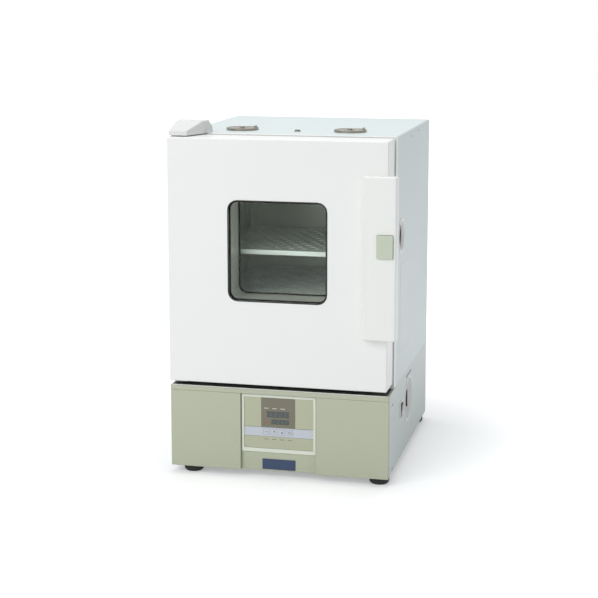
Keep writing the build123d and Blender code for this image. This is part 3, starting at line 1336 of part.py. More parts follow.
def make_magnet_catch():
    """The magnet on the door's back, which holds the door to the steel front frame."""
    x = around(DOOR_X[1] - CATCH_EDGE - MAGNET_WIDTH / 2, MAGNET_WIDTH)
    z = around(DOOR_Z[0] + MAGNET_LIFT, MAGNET_HEIGHT)
    return from_front(panel(x, z, MAGNET_CORNER), (DOOR_Y[1], FRAME_Y - SEAM))


def make_parts():
    """Every node of the oven by name."""
    vent_left, vent_right = VENTS_X
    parts = {
        "feet": make_feet(),
        "base_tray": make_base_tray(),
        "base_casing": make_base_casing(),
        "base_top_rail": make_base_top_rail(),
        "base_front_left": make_base_front(-1),
        "base_front_right": make_base_front(1),
        "control_column": make_control_column(),
        "controller_housing": make_controller_housing(),
        "control_overlay": make_control_overlay(),
        "displays": make_displays(),
        "control_board": make_control_board(),
        "relay": make_relay(),
        "terminal_block": make_terminal_block(),
        "power_inlet": make_power_inlet(),
        "switch_frame": make_switch_frame(),
        "switch_rocker": make_switch_rocker(),
        "dial_dish": make_dial_dish(),
        "overheat_dial": make_overheat_dial(),
        "overheat_thermostat": make_overheat_thermostat(),
        "cabinet_floor": make_cabinet_floor(),
        "front_frame": make_front_frame(),
        "outer_shell": make_outer_shell(),
        "back_panel": make_back_panel(),
        "chamber_liner": make_chamber_liner(),
        "chamber_ceiling": make_chamber_ceiling(),
        "insulation": make_insulation(),
        "heaters": make_heaters(),
        "floor_plate": make_floor_plate(),
        "shelf_rails": make_shelf_rails(),
        "shelf_clips": make_shelf_clips(),
        "shelf_lower": make_shelf(SHELF_TOPS[0]),
        "shelf_upper": make_shelf(SHELF_TOPS[1]),
        "temperature_probe": make_temperature_probe(),
        "thermometer_sleeve": make_thermometer_sleeve(),
        "thermometer_plug": make_thermometer_plug(),
        "port_sleeve": make_port_sleeve(),
        "port_plug": make_port_plug(),
        "vent_collar_left": make_vent_collar(vent_left),
        "vent_collar_right": make_vent_collar(vent_right),
        "vent_damper_left": make_vent_damper(vent_left),
        "vent_damper_right": make_vent_damper(vent_right),
        "door_gasket": make_door_gasket(),
        "hinge_bracket_top": make_hinge_bracket_top(),
        "hinge_bracket_bottom": make_hinge_bracket_bottom(),
        "hinge_cover": make_hinge_cover(),
        "hinge_bushes": make_hinge_bushes(),
        "door_shell": make_door_shell(),
        "door_liner": make_door_liner(),
        "door_insulation": make_door_insulation(),
        "window_tunnel": make_window_tunnel(),
        "outer_pane": make_pane(outer_pane_y()),
        "inner_pane": make_pane(inner_pane_y()),
        "pane_seals": make_pane_seals(),
        "handle": make_handle(),
        "latch_button": make_latch_button(),
        "magnet_catch": make_magnet_catch(),
    }
    for name, x in zip(KEY_NAMES, KEY_X):
        parts["key_" + name] = make_key(x)
    return parts


# The part's own frame: the middle of the bounding box, on the floor
SHIFT_X = -(CABINET_X[0] + HANDLE_X[1]) / 2
SHIFT_Y = -(HANDLE_FRONT - BUTTON_PROUD + CABINET_DEPTH + INLET_FLANGE_THICKNESS) / 2

if __name__ == "__main__":
    os.makedirs("parts", exist_ok=True)
    for node, shape in make_parts().items():
        export_step(Pos(SHIFT_X, SHIFT_Y, 0) * shape, "parts/" + node + ".step")
        print(node, len(shape.solids()), "solid(s)", round(shape.volume / 1000, 1), "cm3")
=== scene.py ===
# %% [markdown]
# A bench-top drying oven, dressed around its imported CAD frame. The frame brings every moving and
# load-carrying piece at its real size. This lesson adds what the eye looks for: baked enamel,
# bright steel, clear glass, printed film, screws, marks on the keys and a studio to show it in.
# The two import lines come first.

# %% Load the frame
import math
import bmesh
import bpy
from mathutils import Matrix, Vector


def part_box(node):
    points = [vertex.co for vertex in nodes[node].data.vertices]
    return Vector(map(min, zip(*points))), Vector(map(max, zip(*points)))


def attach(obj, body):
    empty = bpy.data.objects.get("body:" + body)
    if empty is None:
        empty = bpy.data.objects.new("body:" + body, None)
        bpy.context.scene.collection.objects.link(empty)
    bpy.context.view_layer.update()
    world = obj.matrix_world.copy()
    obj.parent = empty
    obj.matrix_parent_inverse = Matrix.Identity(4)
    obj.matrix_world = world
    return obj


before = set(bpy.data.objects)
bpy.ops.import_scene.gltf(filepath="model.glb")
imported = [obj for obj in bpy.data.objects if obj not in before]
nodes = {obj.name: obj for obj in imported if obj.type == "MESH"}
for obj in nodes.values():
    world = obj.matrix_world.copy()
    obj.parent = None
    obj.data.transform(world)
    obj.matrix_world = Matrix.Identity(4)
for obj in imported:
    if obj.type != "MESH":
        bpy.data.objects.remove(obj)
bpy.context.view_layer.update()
print("nodes in the frame:", len(nodes))

# %% [markdown]
# Sizes on the oven are easiest to read in millimetres from the middle of the cabinet, from the
# front of the base and from the floor. One helper turns such a place into the frame's metres, and
# another gives a node's limits in the same millimetres, so a new piece can line up with it.

# %% The cabinet's own millimetres
MM = 0.001
MIDDLE_X = sum(corner.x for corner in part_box("outer_shell")) / 2
BASE_FRONT_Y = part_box("base_front_left")[0].y


def place(x, y, z):
    """A point in metres from millimetres: cabinet's middle, base's front, floor."""
    return Vector((MIDDLE_X + x * MM, BASE_FRONT_Y + y * MM, z * MM))


def limits(node):
    """A node's lowest and highest corner in the cabinet's millimetres."""
    low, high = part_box(node)
    shift = Vector((MIDDLE_X, BASE_FRONT_Y, 0))
    return (low - shift) / MM, (high - shift) / MM


print("overlay from", *limits("control_overlay"))

# %% [markdown]
# Every finish here shares a few effects, so each effect is a node group that is built once. This
# helper makes an empty group with named sockets, and a second one links nodes in a readable way.

# %% Helpers for node groups
SOCKETS = {"value": "NodeSocketFloat", "colour": "NodeSocketColor", "vector": "NodeSocketVector"}


def new_group(name, inputs, outputs):
    """A shader group with its input and output nodes. Inputs are (name, kind, default)."""
    group = bpy.data.node_groups.new(name, "ShaderNodeTree")
    for title, kind, default in inputs:
        socket = group.interface.new_socket(title, in_out="INPUT", socket_type=SOCKETS[kind])
        if default is not None:
            socket.default_value = default
    for title, kind in outputs:
        group.interface.new_socket(title, in_out="OUTPUT", socket_type=SOCKETS[kind])
    entry = group.nodes.new("NodeGroupInput")
    leave = group.nodes.new("NodeGroupOutput")
    return group, entry, leave


def find_input(node, name):
    """A node's input by its name, or by its number where that is written i0, i1 and so on."""
    if name[0] == "i" and name[1:].isdigit():
        return node.inputs[int(name[1:])]
    return node.inputs[name]


def add_node(tree, kind, settings=None, **values):
    """A node with its settings, and with its inputs set or linked."""
    node = tree.nodes.new(kind)
    for name, value in (settings or {}).items():
        setattr(node, name, value)
    for name, value in values.items():
        socket = find_input(node, name)
        if isinstance(value, bpy.types.NodeSocket):
            tree.links.new(value, socket)
        else:
            socket.default_value = value
    return node


def maths(tree, operation, first, second=0.0, clamp=False):
    """A Math node's output."""
    settings = {"operation": operation, "use_clamp": clamp}
    return add_node(tree, "ShaderNodeMath", settings, i0=first, i1=second).outputs[0]


def blend_colour(tree, share, first, second):
    """A colour that goes from the first to the second by a share."""
    node = add_node(tree, "ShaderNodeMix", {"data_type": "RGBA"})
    for index, value in ((0, share), (6, first), (7, second)):
        if isinstance(value, bpy.types.NodeSocket):
            tree.links.new(value, node.inputs[index])
        else:
            node.inputs[index].default_value = value
    return node.outputs[2]


# %% [markdown]
# Sprayed and baked enamel isn't a flat colour. It carries a very fine orange peel and its tone drifts
# a little over a large sheet, and the finish below paints a folded edge a little lighter, a painted
# highlight. The group takes the paint's colour and gives back a colour, a roughness and a height for a
# Bump node.

# %% Group: enamel skin
CLOUD_SCALE = 4.0
ROUGHNESS_DRIFT = 0.12


def build_enamel_group():
    group, entry, leave = new_group(
        "Enamel Skin",
        [("Colour", "colour", None), ("Peel Scale", "value", 900.0), ("Drift", "value", 0.03),
         ("Roughness", "value", 0.35)],
        [("Colour", "colour"), ("Roughness", "value"), ("Height", "value")],
    )
    place_on_piece = add_node(group, "ShaderNodeTexCoord").outputs["Object"]
    peel = add_node(group, "ShaderNodeTexNoise", Vector=place_on_piece, Detail=2.0)
    group.links.new(entry.outputs["Peel Scale"], peel.inputs["Scale"])
    cloud = add_node(group, "ShaderNodeTexNoise", Vector=place_on_piece, Scale=CLOUD_SCALE, Detail=3.0)
    drift = maths(group, "SUBTRACT", cloud.outputs[0], 0.5)
    drift = maths(group, "MULTIPLY", drift, entry.outputs["Drift"])
    brightness = maths(group, "ADD", drift, 1.0)
    hue = add_node(group, "ShaderNodeHueSaturation", Color=entry.outputs["Colour"], Value=brightness)
    group.links.new(hue.outputs[0], leave.inputs["Colour"])
    rough = maths(group, "MULTIPLY", cloud.outputs[0], ROUGHNESS_DRIFT)
    rough = maths(group, "ADD", rough, entry.outputs["Roughness"], clamp=True)
    group.links.new(rough, leave.inputs["Roughness"])
    group.links.new(peel.outputs[0], leave.inputs["Height"])
    return group


enamel_group = build_enamel_group()
print("group:", enamel_group.name)

# %% [markdown]
# A sheet that is folded, or a moulding that is handled, wears first along its edges; on enamel the
# mask paints the edge lighter instead, a painted highlight. The Bevel node gives a normal that is
# rounded near an edge, and where it differs from the true normal there is an edge. The group puts out
# that mask, broken up by noise, and the rounded normal itself, which lets a hard CAD edge catch a
# thin highlight as a real fold does.

# %% Group: soft edge
EDGE_RADIUS = 1.2 * MM
EDGE_GAIN = 6.0
WEAR_AND_HIGHLIGHT_SHARE = 0.42


def build_edge_group():
    group, entry, leave = new_group(
        "Soft Edge",
        [("Breakup", "value", 220.0), ("Normal", "vector", None)],
        [("Mask", "value"), ("Normal", "vector")],
    )
    rounded = add_node(group, "ShaderNodeBevel", {"samples": 4}, Radius=EDGE_RADIUS)
    true_normal = add_node(group, "ShaderNodeNewGeometry").outputs["Normal"]
    facing = add_node(group, "ShaderNodeVectorMath", {"operation": "DOT_PRODUCT"},
                      i0=rounded.outputs[0], i1=true_normal).outputs["Value"]
    edge = maths(group, "SUBTRACT", 1.0, facing)
    edge = maths(group, "MULTIPLY", edge, EDGE_GAIN, clamp=True)
    spot = add_node(group, "ShaderNodeTexNoise", Detail=3.0,
                    Vector=add_node(group, "ShaderNodeTexCoord").outputs["Object"])
    group.links.new(entry.outputs["Breakup"], spot.inputs["Scale"])
    broken = maths(group, "GREATER_THAN", spot.outputs[0], WEAR_AND_HIGHLIGHT_SHARE)
    group.links.new(maths(group, "MULTIPLY", edge, broken), leave.inputs["Mask"])
    group.links.new(rounded.outputs[0], leave.inputs["Normal"])
    return group


edge_group = build_edge_group()
print("group:", edge_group.name)

# %% [markdown]
# Rolled or brushed stainless sheet has a grain of fine parallel lines. Stretching noise hard along
# one axis makes them: the Mapping node's scale is small along the grain and large across it. The
# group gives the grain as a value that can darken, roughen and raise the surface a little.

# %% Group: rolled grain
SMUDGE_SCALE = 14.0


def build_grain_group():
    group, entry, leave = new_group(
        "Rolled Grain",
        [("Stretch", "vector", (1.0, 1.0, 1.0)), ("Smudge", "value", 0.15)],
        [("Grain", "value"), ("Smudges", "value")],
    )
    place_on_piece = add_node(group, "ShaderNodeTexCoord").outputs["Object"]
    stretched = add_node(group, "ShaderNodeVectorMath", {"operation": "MULTIPLY"},
                         i0=place_on_piece, i1=entry.outputs["Stretch"]).outputs[0]
    lines = add_node(group, "ShaderNodeTexNoise", Vector=stretched, Scale=1.0, Detail=4.0)
    smudge = add_node(group, "ShaderNodeTexNoise", Vector=place_on_piece, Scale=SMUDGE_SCALE, Detail=5.0)
    group.links.new(lines.outputs[0], leave.inputs["Grain"])
    smears = maths(group, "MULTIPLY", smudge.outputs[0], entry.outputs["Smudge"])
    group.links.new(smears, leave.inputs["Smudges"])
    return group


grain_group = build_grain_group()
print("group:", grain_group.name)

# %% [markdown]
# Dust settles on what faces up and rubs off what faces sideways. The true normal's Z says which
# way a face looks, and a soft noise keeps the layer from being even. Only a trace is wanted on a
# kept laboratory instrument, so each finish mixes in a few percent of it.

# %% Group: settled dust
DUST_SCALE = 35.0


def build_dust_group():
    group, entry, leave = new_group("Settled Dust", [("Amount", "value", 0.1)], [("Mask", "value")])
    normal = add_node(group, "ShaderNodeNewGeometry").outputs["Normal"]
    up = add_node(group, "ShaderNodeSeparateXYZ", i0=normal).outputs["Z"]
    soft = add_node(group, "ShaderNodeTexNoise", Scale=DUST_SCALE, Detail=4.0,
                    Vector=add_node(group, "ShaderNodeTexCoord").outputs["Object"])
    layer = maths(group, "MULTIPLY", maths(group, "MAXIMUM", up, 0.0), soft.outputs[0])
    group.links.new(maths(group, "MULTIPLY", layer, entry.outputs["Amount"]), leave.inputs["Mask"])
    return group


dust_group = build_dust_group()
print("group:", dust_group.name)

# %% [markdown]
# Colours are chosen as they look on a screen, from 0 to 255, but a shader wants linear light. This
# helper converts once, so that each finish below can be read as an ordinary colour.

# %% Screen colours to linear light
def screen(red, green, blue):
    """A linear colour from 0 to 255 screen values."""
    channels = []
    for value in (red, green, blue):
        share = value / 255
        channels.append(share / 12.92 if share <= 0.04045 else ((share + 0.055) / 1.055) ** 2.4)
    return (*channels, 1.0)


def new_material(name):
    """A material with its Principled BSDF, ready for links."""
    material = bpy.data.materials.new(name)
    material.use_nodes = True
    return material, material.node_tree, material.node_tree.nodes["Principled BSDF"]


def use_group(tree, group, **values):
    """A group placed in a material with its own values."""
    node = add_node(tree, "ShaderNodeGroup", {"node_tree": group})
    for name, value in values.items():
        node.inputs[name.replace("_", " ")].default_value = value
    return node


DUST = screen(206, 202, 190)

# %% [markdown]
# The painted sheets are the oven's face: a warm white on the door and the front frame, a darker and
# cooler copy of that white on the folded shell, which is painted shade for its sides, grey on the
# base's casing, darker again and in part painted shade of its sides, and khaki on its front. They
# differ in colour and gloss only, so one function makes them all from the groups above. The shell is
# seen at a low angle, where a glossy paint would turn white, so its shine is low.

# %% Finish: baked enamel
EDGE_HIGHLIGHT_GAIN = 1.06
EDGE_HIGHLIGHT_SHARE = 0.6
PEEL_STRENGTH = 0.06
PEEL_HEIGHT = 0.2 * MM


def enamel(name, colour, roughness, drift=0.03, dust=0.08, shine=0.5):
    material, tree, surface = new_material(name)
    skin = use_group(tree, enamel_group, Colour=colour, Drift=drift, Roughness=roughness)
    edge = use_group(tree, edge_group)
    settled = use_group(tree, dust_group, Amount=dust)
    # Folded edges are painted a little lighter than the paint: a painted highlight.
    lighter = tuple(min(1.0, channel * EDGE_HIGHLIGHT_GAIN) for channel in colour[:3]) + (1.0,)
    faint = maths(tree, "MULTIPLY", edge.outputs["Mask"], EDGE_HIGHLIGHT_SHARE)
    paint = blend_colour(tree, faint, skin.outputs["Colour"], lighter)
    paint = blend_colour(tree, settled.outputs["Mask"], paint, DUST)
    tree.links.new(paint, surface.inputs["Base Color"])
    tree.links.new(skin.outputs["Roughness"], surface.inputs["Roughness"])
    bump = add_node(tree, "ShaderNodeBump", Strength=PEEL_STRENGTH, Distance=PEEL_HEIGHT,
                    Height=skin.outputs["Height"], Normal=edge.outputs["Normal"])
    tree.links.new(bump.outputs[0], surface.inputs["Normal"])
    surface.inputs["Specular IOR Level"].default_value = shine
    return material


WHITE_ENAMEL = enamel("White enamel", screen(240, 241, 238), 0.3)
# The shell's white is the door's white made darker and cooler: painted shade on its sides.
SHADED_SIDE_ENAMEL = enamel("White enamel in painted shade", screen(216, 226, 225), 0.32, shine=0.12)
# The base casing's grey is darker than the shell's: its paint, and in part painted shade on the base's
# sides.
BASE_ENAMEL_IN_PAINTED_SHADE = enamel("Grey base enamel in painted shade", screen(204, 212, 209), 0.36, shine=0.25)
KHAKI_ENAMEL = enamel("Khaki enamel", screen(184, 189, 166), 0.42)
print("enamels:", WHITE_ENAMEL.name, SHADED_SIDE_ENAMEL.name, BASE_ENAMEL_IN_PAINTED_SHADE.name, KHAKI_ENAMEL.name)

# %% [markdown]
# Stainless sheet inside the door and the chamber is bright but not a mirror. The grain runs along
# the length that the sheet was rolled, so each use says which way it goes. Heat leaves a faint
# straw tint in patches, which the smudge value brings in. A fully metallic chamber would mirror its
# own dark inside, so the chamber and the shelves are only partly metallic, and the window shows them
# lit.

# %% Finish: rolled stainless
RUB = screen(236, 236, 232)
RUB_SHARE = 0.35
GRAIN_ROUGHNESS = 0.2
GRAIN_HEIGHT = 0.2 * MM


def stainless(name, colour, tint, roughness, stretch, bump=0.05, metallic=1.0):
    material, tree, surface = new_material(name)
    grain = use_group(tree, grain_group, Stretch=stretch, Smudge=0.5)
    edge = use_group(tree, edge_group)
    steel = blend_colour(tree, grain.outputs["Smudges"], colour, tint)
    rubbed = maths(tree, "MULTIPLY", edge.outputs["Mask"], RUB_SHARE)
    steel = blend_colour(tree, rubbed, steel, RUB)
    tree.links.new(steel, surface.inputs["Base Color"])
    rough = maths(tree, "MULTIPLY", grain.outputs["Grain"], GRAIN_ROUGHNESS)
    rough = maths(tree, "ADD", rough, roughness, clamp=True)
    tree.links.new(rough, surface.inputs["Roughness"])
    relief = add_node(tree, "ShaderNodeBump", Strength=bump, Distance=GRAIN_HEIGHT,
                      Height=grain.outputs["Grain"], Normal=edge.outputs["Normal"])
    tree.links.new(relief.outputs[0], surface.inputs["Normal"])
    surface.inputs["Metallic"].default_value = metallic
    return material


ALONG_X = (6.0, 900.0, 900.0)
ALONG_Z = (900.0, 900.0, 6.0)
STRAW = screen(168, 160, 142)
PALE_STRAW = screen(184, 180, 164)
LINER_STEEL = stainless("Chamber steel", screen(224, 229, 220), PALE_STRAW, 0.2, ALONG_Z, metallic=0.2)
SHELF_STEEL = stainless("Shelf steel", screen(236, 243, 246), STRAW, 0.3, ALONG_X, metallic=0.25)
DOOR_STEEL = stainless("Door liner steel", screen(200, 200, 196), STRAW, 0.2, ALONG_X)
VENT_STEEL = stainless("Vent steel", screen(150, 145, 134), screen(112, 106, 96), 0.24, ALONG_X)
HEATER_STEEL = stainless("Heater steel", screen(104, 100, 96), screen(84, 72, 66), 0.45, ALONG_Z)
print("steels:", LINER_STEEL.name, SHELF_STEEL.name, VENT_STEEL.name)

# %% [markdown]
# Plain zinc-plated sheet closes the base below and carries the hinges. Its crystals show as a
# patchwork of slightly different greys, which a Voronoi texture's cell colours give directly.

# %% Finish: zinc-plated sheet
CRYSTAL_SCALE = 160.0
DARK_CRYSTAL = screen(150, 152, 153)
PALE_CRYSTAL = screen(176, 178, 178)
ZINC_ROUGHNESS = 0.35
CRYSTAL_ROUGHNESS = 0.2
ZINC_METALLIC = 0.8


def zinc(name):
    material, tree, surface = new_material(name)
    where = add_node(tree, "ShaderNodeTexCoord").outputs["Object"]
    cells = add_node(tree, "ShaderNodeTexVoronoi", Vector=where, Scale=CRYSTAL_SCALE)
    cell_grey = add_node(tree, "ShaderNodeSeparateColor", i0=cells.outputs["Color"]).outputs[0]
    grey = blend_colour(tree, cell_grey, DARK_CRYSTAL, PALE_CRYSTAL)
    tree.links.new(grey, surface.inputs["Base Color"])
    rough = maths(tree, "MULTIPLY", cell_grey, CRYSTAL_ROUGHNESS)
    tree.links.new(maths(tree, "ADD", rough, ZINC_ROUGHNESS), surface.inputs["Roughness"])
    edge = use_group(tree, edge_group)
    tree.links.new(edge.outputs["Normal"], surface.inputs["Normal"])
    surface.inputs["Metallic"].default_value = ZINC_METALLIC
    return material


ZINC_SHEET = zinc("Zinc sheet")

# %% [markdown]
# Moulded plastics, rubber, inks and plain films differ in gloss and in how coarse their texture
# is. A fine noise stands for the spark-eroded texture of the mould.

# %% Finish: mouldings and rubber
MOULD_HEIGHT = 0.3 * MM
RUBBED_GAIN = 1.15
RUBBED_LIFT = 0.01


def moulding(name, colour, roughness, texture_scale, strength, dust=0.06, worn=0.35):
    material, tree, surface = new_material(name)
    skin = use_group(tree, enamel_group, Colour=colour, Peel_Scale=texture_scale, Drift=0.05,
                     Roughness=roughness)
    edge = use_group(tree, edge_group)
    settled = use_group(tree, dust_group, Amount=dust)
    lighter = tuple(min(1.0, channel * RUBBED_GAIN + RUBBED_LIFT) for channel in colour[:3]) + (1.0,)
    rubbed = maths(tree, "MULTIPLY", edge.outputs["Mask"], worn)
    skin_colour = blend_colour(tree, rubbed, skin.outputs["Colour"], lighter)
    skin_colour = blend_colour(tree, settled.outputs["Mask"], skin_colour, DUST)
    tree.links.new(skin_colour, surface.inputs["Base Color"])
    tree.links.new(skin.outputs["Roughness"], surface.inputs["Roughness"])
    bump = add_node(tree, "ShaderNodeBump", Strength=strength, Distance=MOULD_HEIGHT,
                    Height=skin.outputs["Height"], Normal=edge.outputs["Normal"])
    tree.links.new(bump.outputs[0], surface.inputs["Normal"])
    return material


WHITE_PLASTIC = moulding("White moulding", screen(240, 241, 237), 0.32, 1400.0, 0.08)
COVER_PLASTIC = moulding("Cover moulding", screen(222, 223, 220), 0.4, 1400.0, 0.08)
CREAM_PLASTIC = moulding("Cream bezel", screen(226, 230, 216), 0.38, 1600.0, 0.1)
BUTTON_PLASTIC = moulding("Grey-green button", screen(198, 206, 186), 0.34, 1600.0, 0.08)
KEY_PLASTIC = moulding("Lavender key film", screen(198, 203, 211), 0.4, 1200.0, 0.05)
BLACK_PLASTIC = moulding("Black moulding", screen(26, 26, 28), 0.32, 1500.0, 0.12, worn=0.2)
GREY_PLASTIC = moulding("Pale grey moulding", screen(190, 192, 184), 0.45, 1200.0, 0.1)
BLACK_RUBBER = moulding("Black rubber", screen(24, 24, 24), 0.62, 700.0, 0.25, dust=0.12, worn=0.15)
GASKET_RUBBER = moulding("Gasket rubber", screen(44, 45, 46), 0.55, 900.0, 0.15, worn=0.1)
PLUG_RUBBER = moulding("Grey rubber", screen(128, 124, 112), 0.6, 800.0, 0.2, worn=0.1)
WOOL = moulding("Mineral wool", screen(214, 200, 150), 0.85, 300.0, 0.9, worn=0.0)
BOARD_GREEN = moulding("Circuit board", screen(38, 92, 60), 0.35, 500.0, 0.1, worn=0.0)
print("mouldings made")

# %% [markdown]
# The sintered bronze of the hinge bushes, the black oxide of the magnet and the screws finish the
# list of metals. All are nearly plain at this size, so only a speckle and the soft edge are added.

# %% Finish: bronze and magnet
SPECK_SCALE = 1200.0
SPECK_ROUGHNESS = 0.25


def speckled(name, colour, fleck, metallic, roughness):
    material, tree, surface = new_material(name)
    where = add_node(tree, "ShaderNodeTexCoord").outputs["Object"]
    grains = add_node(tree, "ShaderNodeTexNoise", Vector=where, Scale=SPECK_SCALE, Detail=2.0)
    tree.links.new(blend_colour(tree, grains.outputs[0], colour, fleck), surface.inputs["Base Color"])
    edge = use_group(tree, edge_group)
    tree.links.new(edge.outputs["Normal"], surface.inputs["Normal"])
    rough = maths(tree, "MULTIPLY", grains.outputs[0], SPECK_ROUGHNESS)
    tree.links.new(maths(tree, "ADD", rough, roughness), surface.inputs["Roughness"])
    surface.inputs["Metallic"].default_value = metallic
    return material


BRONZE = speckled("Sintered bronze", screen(186, 150, 98), screen(150, 116, 70), 1.0, 0.3)
MAGNET_BLACK = speckled("Magnet", screen(52, 52, 54), screen(30, 30, 32), 0.6, 0.35)
SCREW_STEEL = speckled("Screw steel", screen(188, 190, 190), screen(150, 152, 152), 1.0, 0.25)

# %% [markdown]
# Window glass is clear. Light that enters the chamber has to pass it, and a path tracer loses that
# light if the pane casts a solid shadow. So for shadow rays and scattered light the pane is simply
# transparent: the Light Path node picks that in the material itself. In a studio that is white all
# round, four glossy surfaces would veil the chamber, so the index is lower than real glass has.

# %% Finish: window glass
GLASS_TINT = screen(252, 254, 252)
GLASS_INDEX = 1.16
HAZE_SCALE = 9.0
HAZE_ROUGHNESS = 0.03


def window_glass(name):
    material, tree, surface = new_material(name)
    where = add_node(tree, "ShaderNodeTexCoord").outputs["Object"]
    haze = add_node(tree, "ShaderNodeTexNoise", Vector=where, Scale=HAZE_SCALE, Detail=4.0)
    rough = maths(tree, "MULTIPLY", haze.outputs[0], HAZE_ROUGHNESS)
    tree.links.new(rough, surface.inputs["Roughness"])
    surface.inputs["Base Color"].default_value = GLASS_TINT
    surface.inputs["Transmission Weight"].default_value = 1.0
    surface.inputs["IOR"].default_value = GLASS_INDEX
    clear = add_node(tree, "ShaderNodeBsdfTransparent", Color=GLASS_TINT)
    path = add_node(tree, "ShaderNodeLightPath")
    out = tree.nodes["Material Output"]
    either = maths(tree, "MAXIMUM", path.outputs["Is Shadow Ray"], path.outputs["Is Diffuse Ray"])
    mixed = add_node(tree, "ShaderNodeMixShader", i0=either, i1=surface.outputs[0], i2=clear.outputs[0])
    tree.links.new(mixed.outputs[0], out.inputs["Surface"])
    return material


WINDOW_GLASS = window_glass("Window glass")

# %% [markdown]
# The controller's face is a printed film: khaki all over, a brown block behind the displays and a
# lavender strip across the keys, edged by thin dark lines. Masks on Object coordinates print it.
# A group gives one rectangle, so the whole print is a short list of rectangles.

# %% Group: printed rectangle
def build_rectangle_group():
    group, entry, leave = new_group(
        "Printed Rectangle",
        [(limit, "value", 0.0) for limit in ("X Low", "X High", "Z Low", "Z High")],
        [("Mask", "value")],
    )
    where = add_node(group, "ShaderNodeTexCoord").outputs["Object"]
    parts = add_node(group, "ShaderNodeSeparateXYZ", i0=where)
    inside = None
    for axis in ("X", "Z"):
        above = maths(group, "GREATER_THAN", parts.outputs[axis], entry.outputs[axis + " Low"])
        below = maths(group, "LESS_THAN", parts.outputs[axis], entry.outputs[axis + " High"])
        both = maths(group, "MULTIPLY", above, below)
        inside = both if inside is None else maths(group, "MULTIPLY", inside, both)
    group.links.new(inside, leave.inputs["Mask"])
    return group


rectangle_group = build_rectangle_group()
print("group:", rectangle_group.name)

# %% [markdown]
# The film's own node gives its limits, and each rectangle is measured down from its top. Later
# rectangles lie over earlier ones, as the passes of a screen print do.

# %% Finish: printed film
FIELD_LOW, FIELD_HIGH = limits("control_overlay")
BROWN_X = (-34.0, 32.0)
BROWN_DROP = 57.0
STRIP_DROP = 58.0
STRIP_HEIGHT = 17.0
LINE = 0.9
KHAKI_INK = screen(183, 186, 160)
BROWN_INK = screen(118, 114, 98)
LAVENDER_INK = screen(198, 203, 211)
DARK_LINE = screen(112, 110, 100)
PALE_LINE = screen(150, 148, 136)
WEAVE_SCALE = 1500.0
WEAVE_ROUGHNESS = 0.15
WEAVE_STRENGTH = 0.08
WEAVE_HEIGHT = 0.1 * MM
FILM_ROUGHNESS = 0.34


def printed_film(name):
    material, tree, surface = new_material(name)
    where = add_node(tree, "ShaderNodeTexCoord").outputs["Object"]
    weave = add_node(tree, "ShaderNodeTexNoise", Vector=where, Scale=WEAVE_SCALE, Detail=1.0)
    top = FIELD_HIGH.z
    strip_top = top - STRIP_DROP
    strip_low = strip_top - STRIP_HEIGHT
    full = (FIELD_LOW.x - LINE, FIELD_HIGH.x + LINE)
    rectangles = (
        (BROWN_X, (top - BROWN_DROP, top + LINE), BROWN_INK),
        (full, (strip_low, strip_top), LAVENDER_INK),
        (full, (strip_top, strip_top + LINE), DARK_LINE),
        (full, (strip_low - LINE, strip_low), PALE_LINE),
    )
    colour = KHAKI_INK
    for across, up, ink in rectangles:
        low = place(across[0], 0, up[0])
        high = place(across[1], 0, up[1])
        patch = use_group(tree, rectangle_group, X_Low=low.x, X_High=high.x, Z_Low=low.z, Z_High=high.z)
        colour = blend_colour(tree, patch.outputs["Mask"], colour, ink)
    tree.links.new(colour, surface.inputs["Base Color"])
    rough = maths(tree, "MULTIPLY", weave.outputs[0], WEAVE_ROUGHNESS)
    tree.links.new(maths(tree, "ADD", rough, FILM_ROUGHNESS), surface.inputs["Roughness"])
    bump = add_node(tree, "ShaderNodeBump", Strength=WEAVE_STRENGTH, Distance=WEAVE_HEIGHT,
                    Height=weave.outputs[0])
    tree.links.new(bump.outputs[0], surface.inputs["Normal"])
    return material


PRINTED_FILM = printed_film("Printed film")

# %% [markdown]
# The two displays sit behind dark filter glass. Unlit, they read as a deep green-grey, and their
# segments, thin pieces that follow later, show a shade lighter. The small films and inks of the
# panel and the side are made here too, from the moulding and the filter.

# %% Finish: display filter
DEPTH_SCALE = 120.0
DEEPER = 0.8
DEPTH_ROUGHNESS = 0.1
FILTER_COAT = 0.6
FILTER_COAT_ROUGHNESS = 0.08


def display_filter(name, colour, roughness):
    material, tree, surface = new_material(name)
    where = add_node(tree, "ShaderNodeTexCoord").outputs["Object"]
    depth = add_node(tree, "ShaderNodeTexNoise", Vector=where, Scale=DEPTH_SCALE)
    deeper = tuple(channel * DEEPER for channel in colour[:3]) + (1.0,)
    tree.links.new(blend_colour(tree, depth.outputs[0], colour, deeper), surface.inputs["Base Color"])
    rough = maths(tree, "MULTIPLY", depth.outputs[0], DEPTH_ROUGHNESS)
    tree.links.new(maths(tree, "ADD", rough, roughness), surface.inputs["Roughness"])
    surface.inputs["Coat Weight"].default_value = FILTER_COAT
    surface.inputs["Coat Roughness"].default_value = FILTER_COAT_ROUGHNESS
    return material


DISPLAY_DARK = display_filter("Display filter", screen(46, 58, 56), 0.15)
SEGMENT_DULL = display_filter("Unlit segment", screen(78, 90, 84), 0.25)
NAVY_PLATE = moulding("Navy plate", screen(52, 68, 100), 0.45, 900.0, 0.03, dust=0.0)
MARK_INK = moulding("Mark ink", screen(126, 134, 120), 0.5, 900.0, 0.02, dust=0.0, worn=0.0)
WHITE_INK = moulding("White ink", screen(226, 226, 222), 0.5, 900.0, 0.02, dust=0.0, worn=0.0)
AMBER_LENS = display_filter("Amber lens", screen(176, 96, 50), 0.2)
LABEL_FILM = moulding("Blank label film", screen(206, 213, 211), 0.34, 1500.0, 0.03, dust=0.0, worn=0.0)
STRIP_FILM = moulding("Dark label strip", screen(104, 112, 118), 0.4, 1500.0, 0.03, dust=0.0, worn=0.0)

# %% [markdown]
# Each CAD node now gets its finish. The table is by finish, which is how a paint shop would list
# it, and every node of the frame is checked to have one.

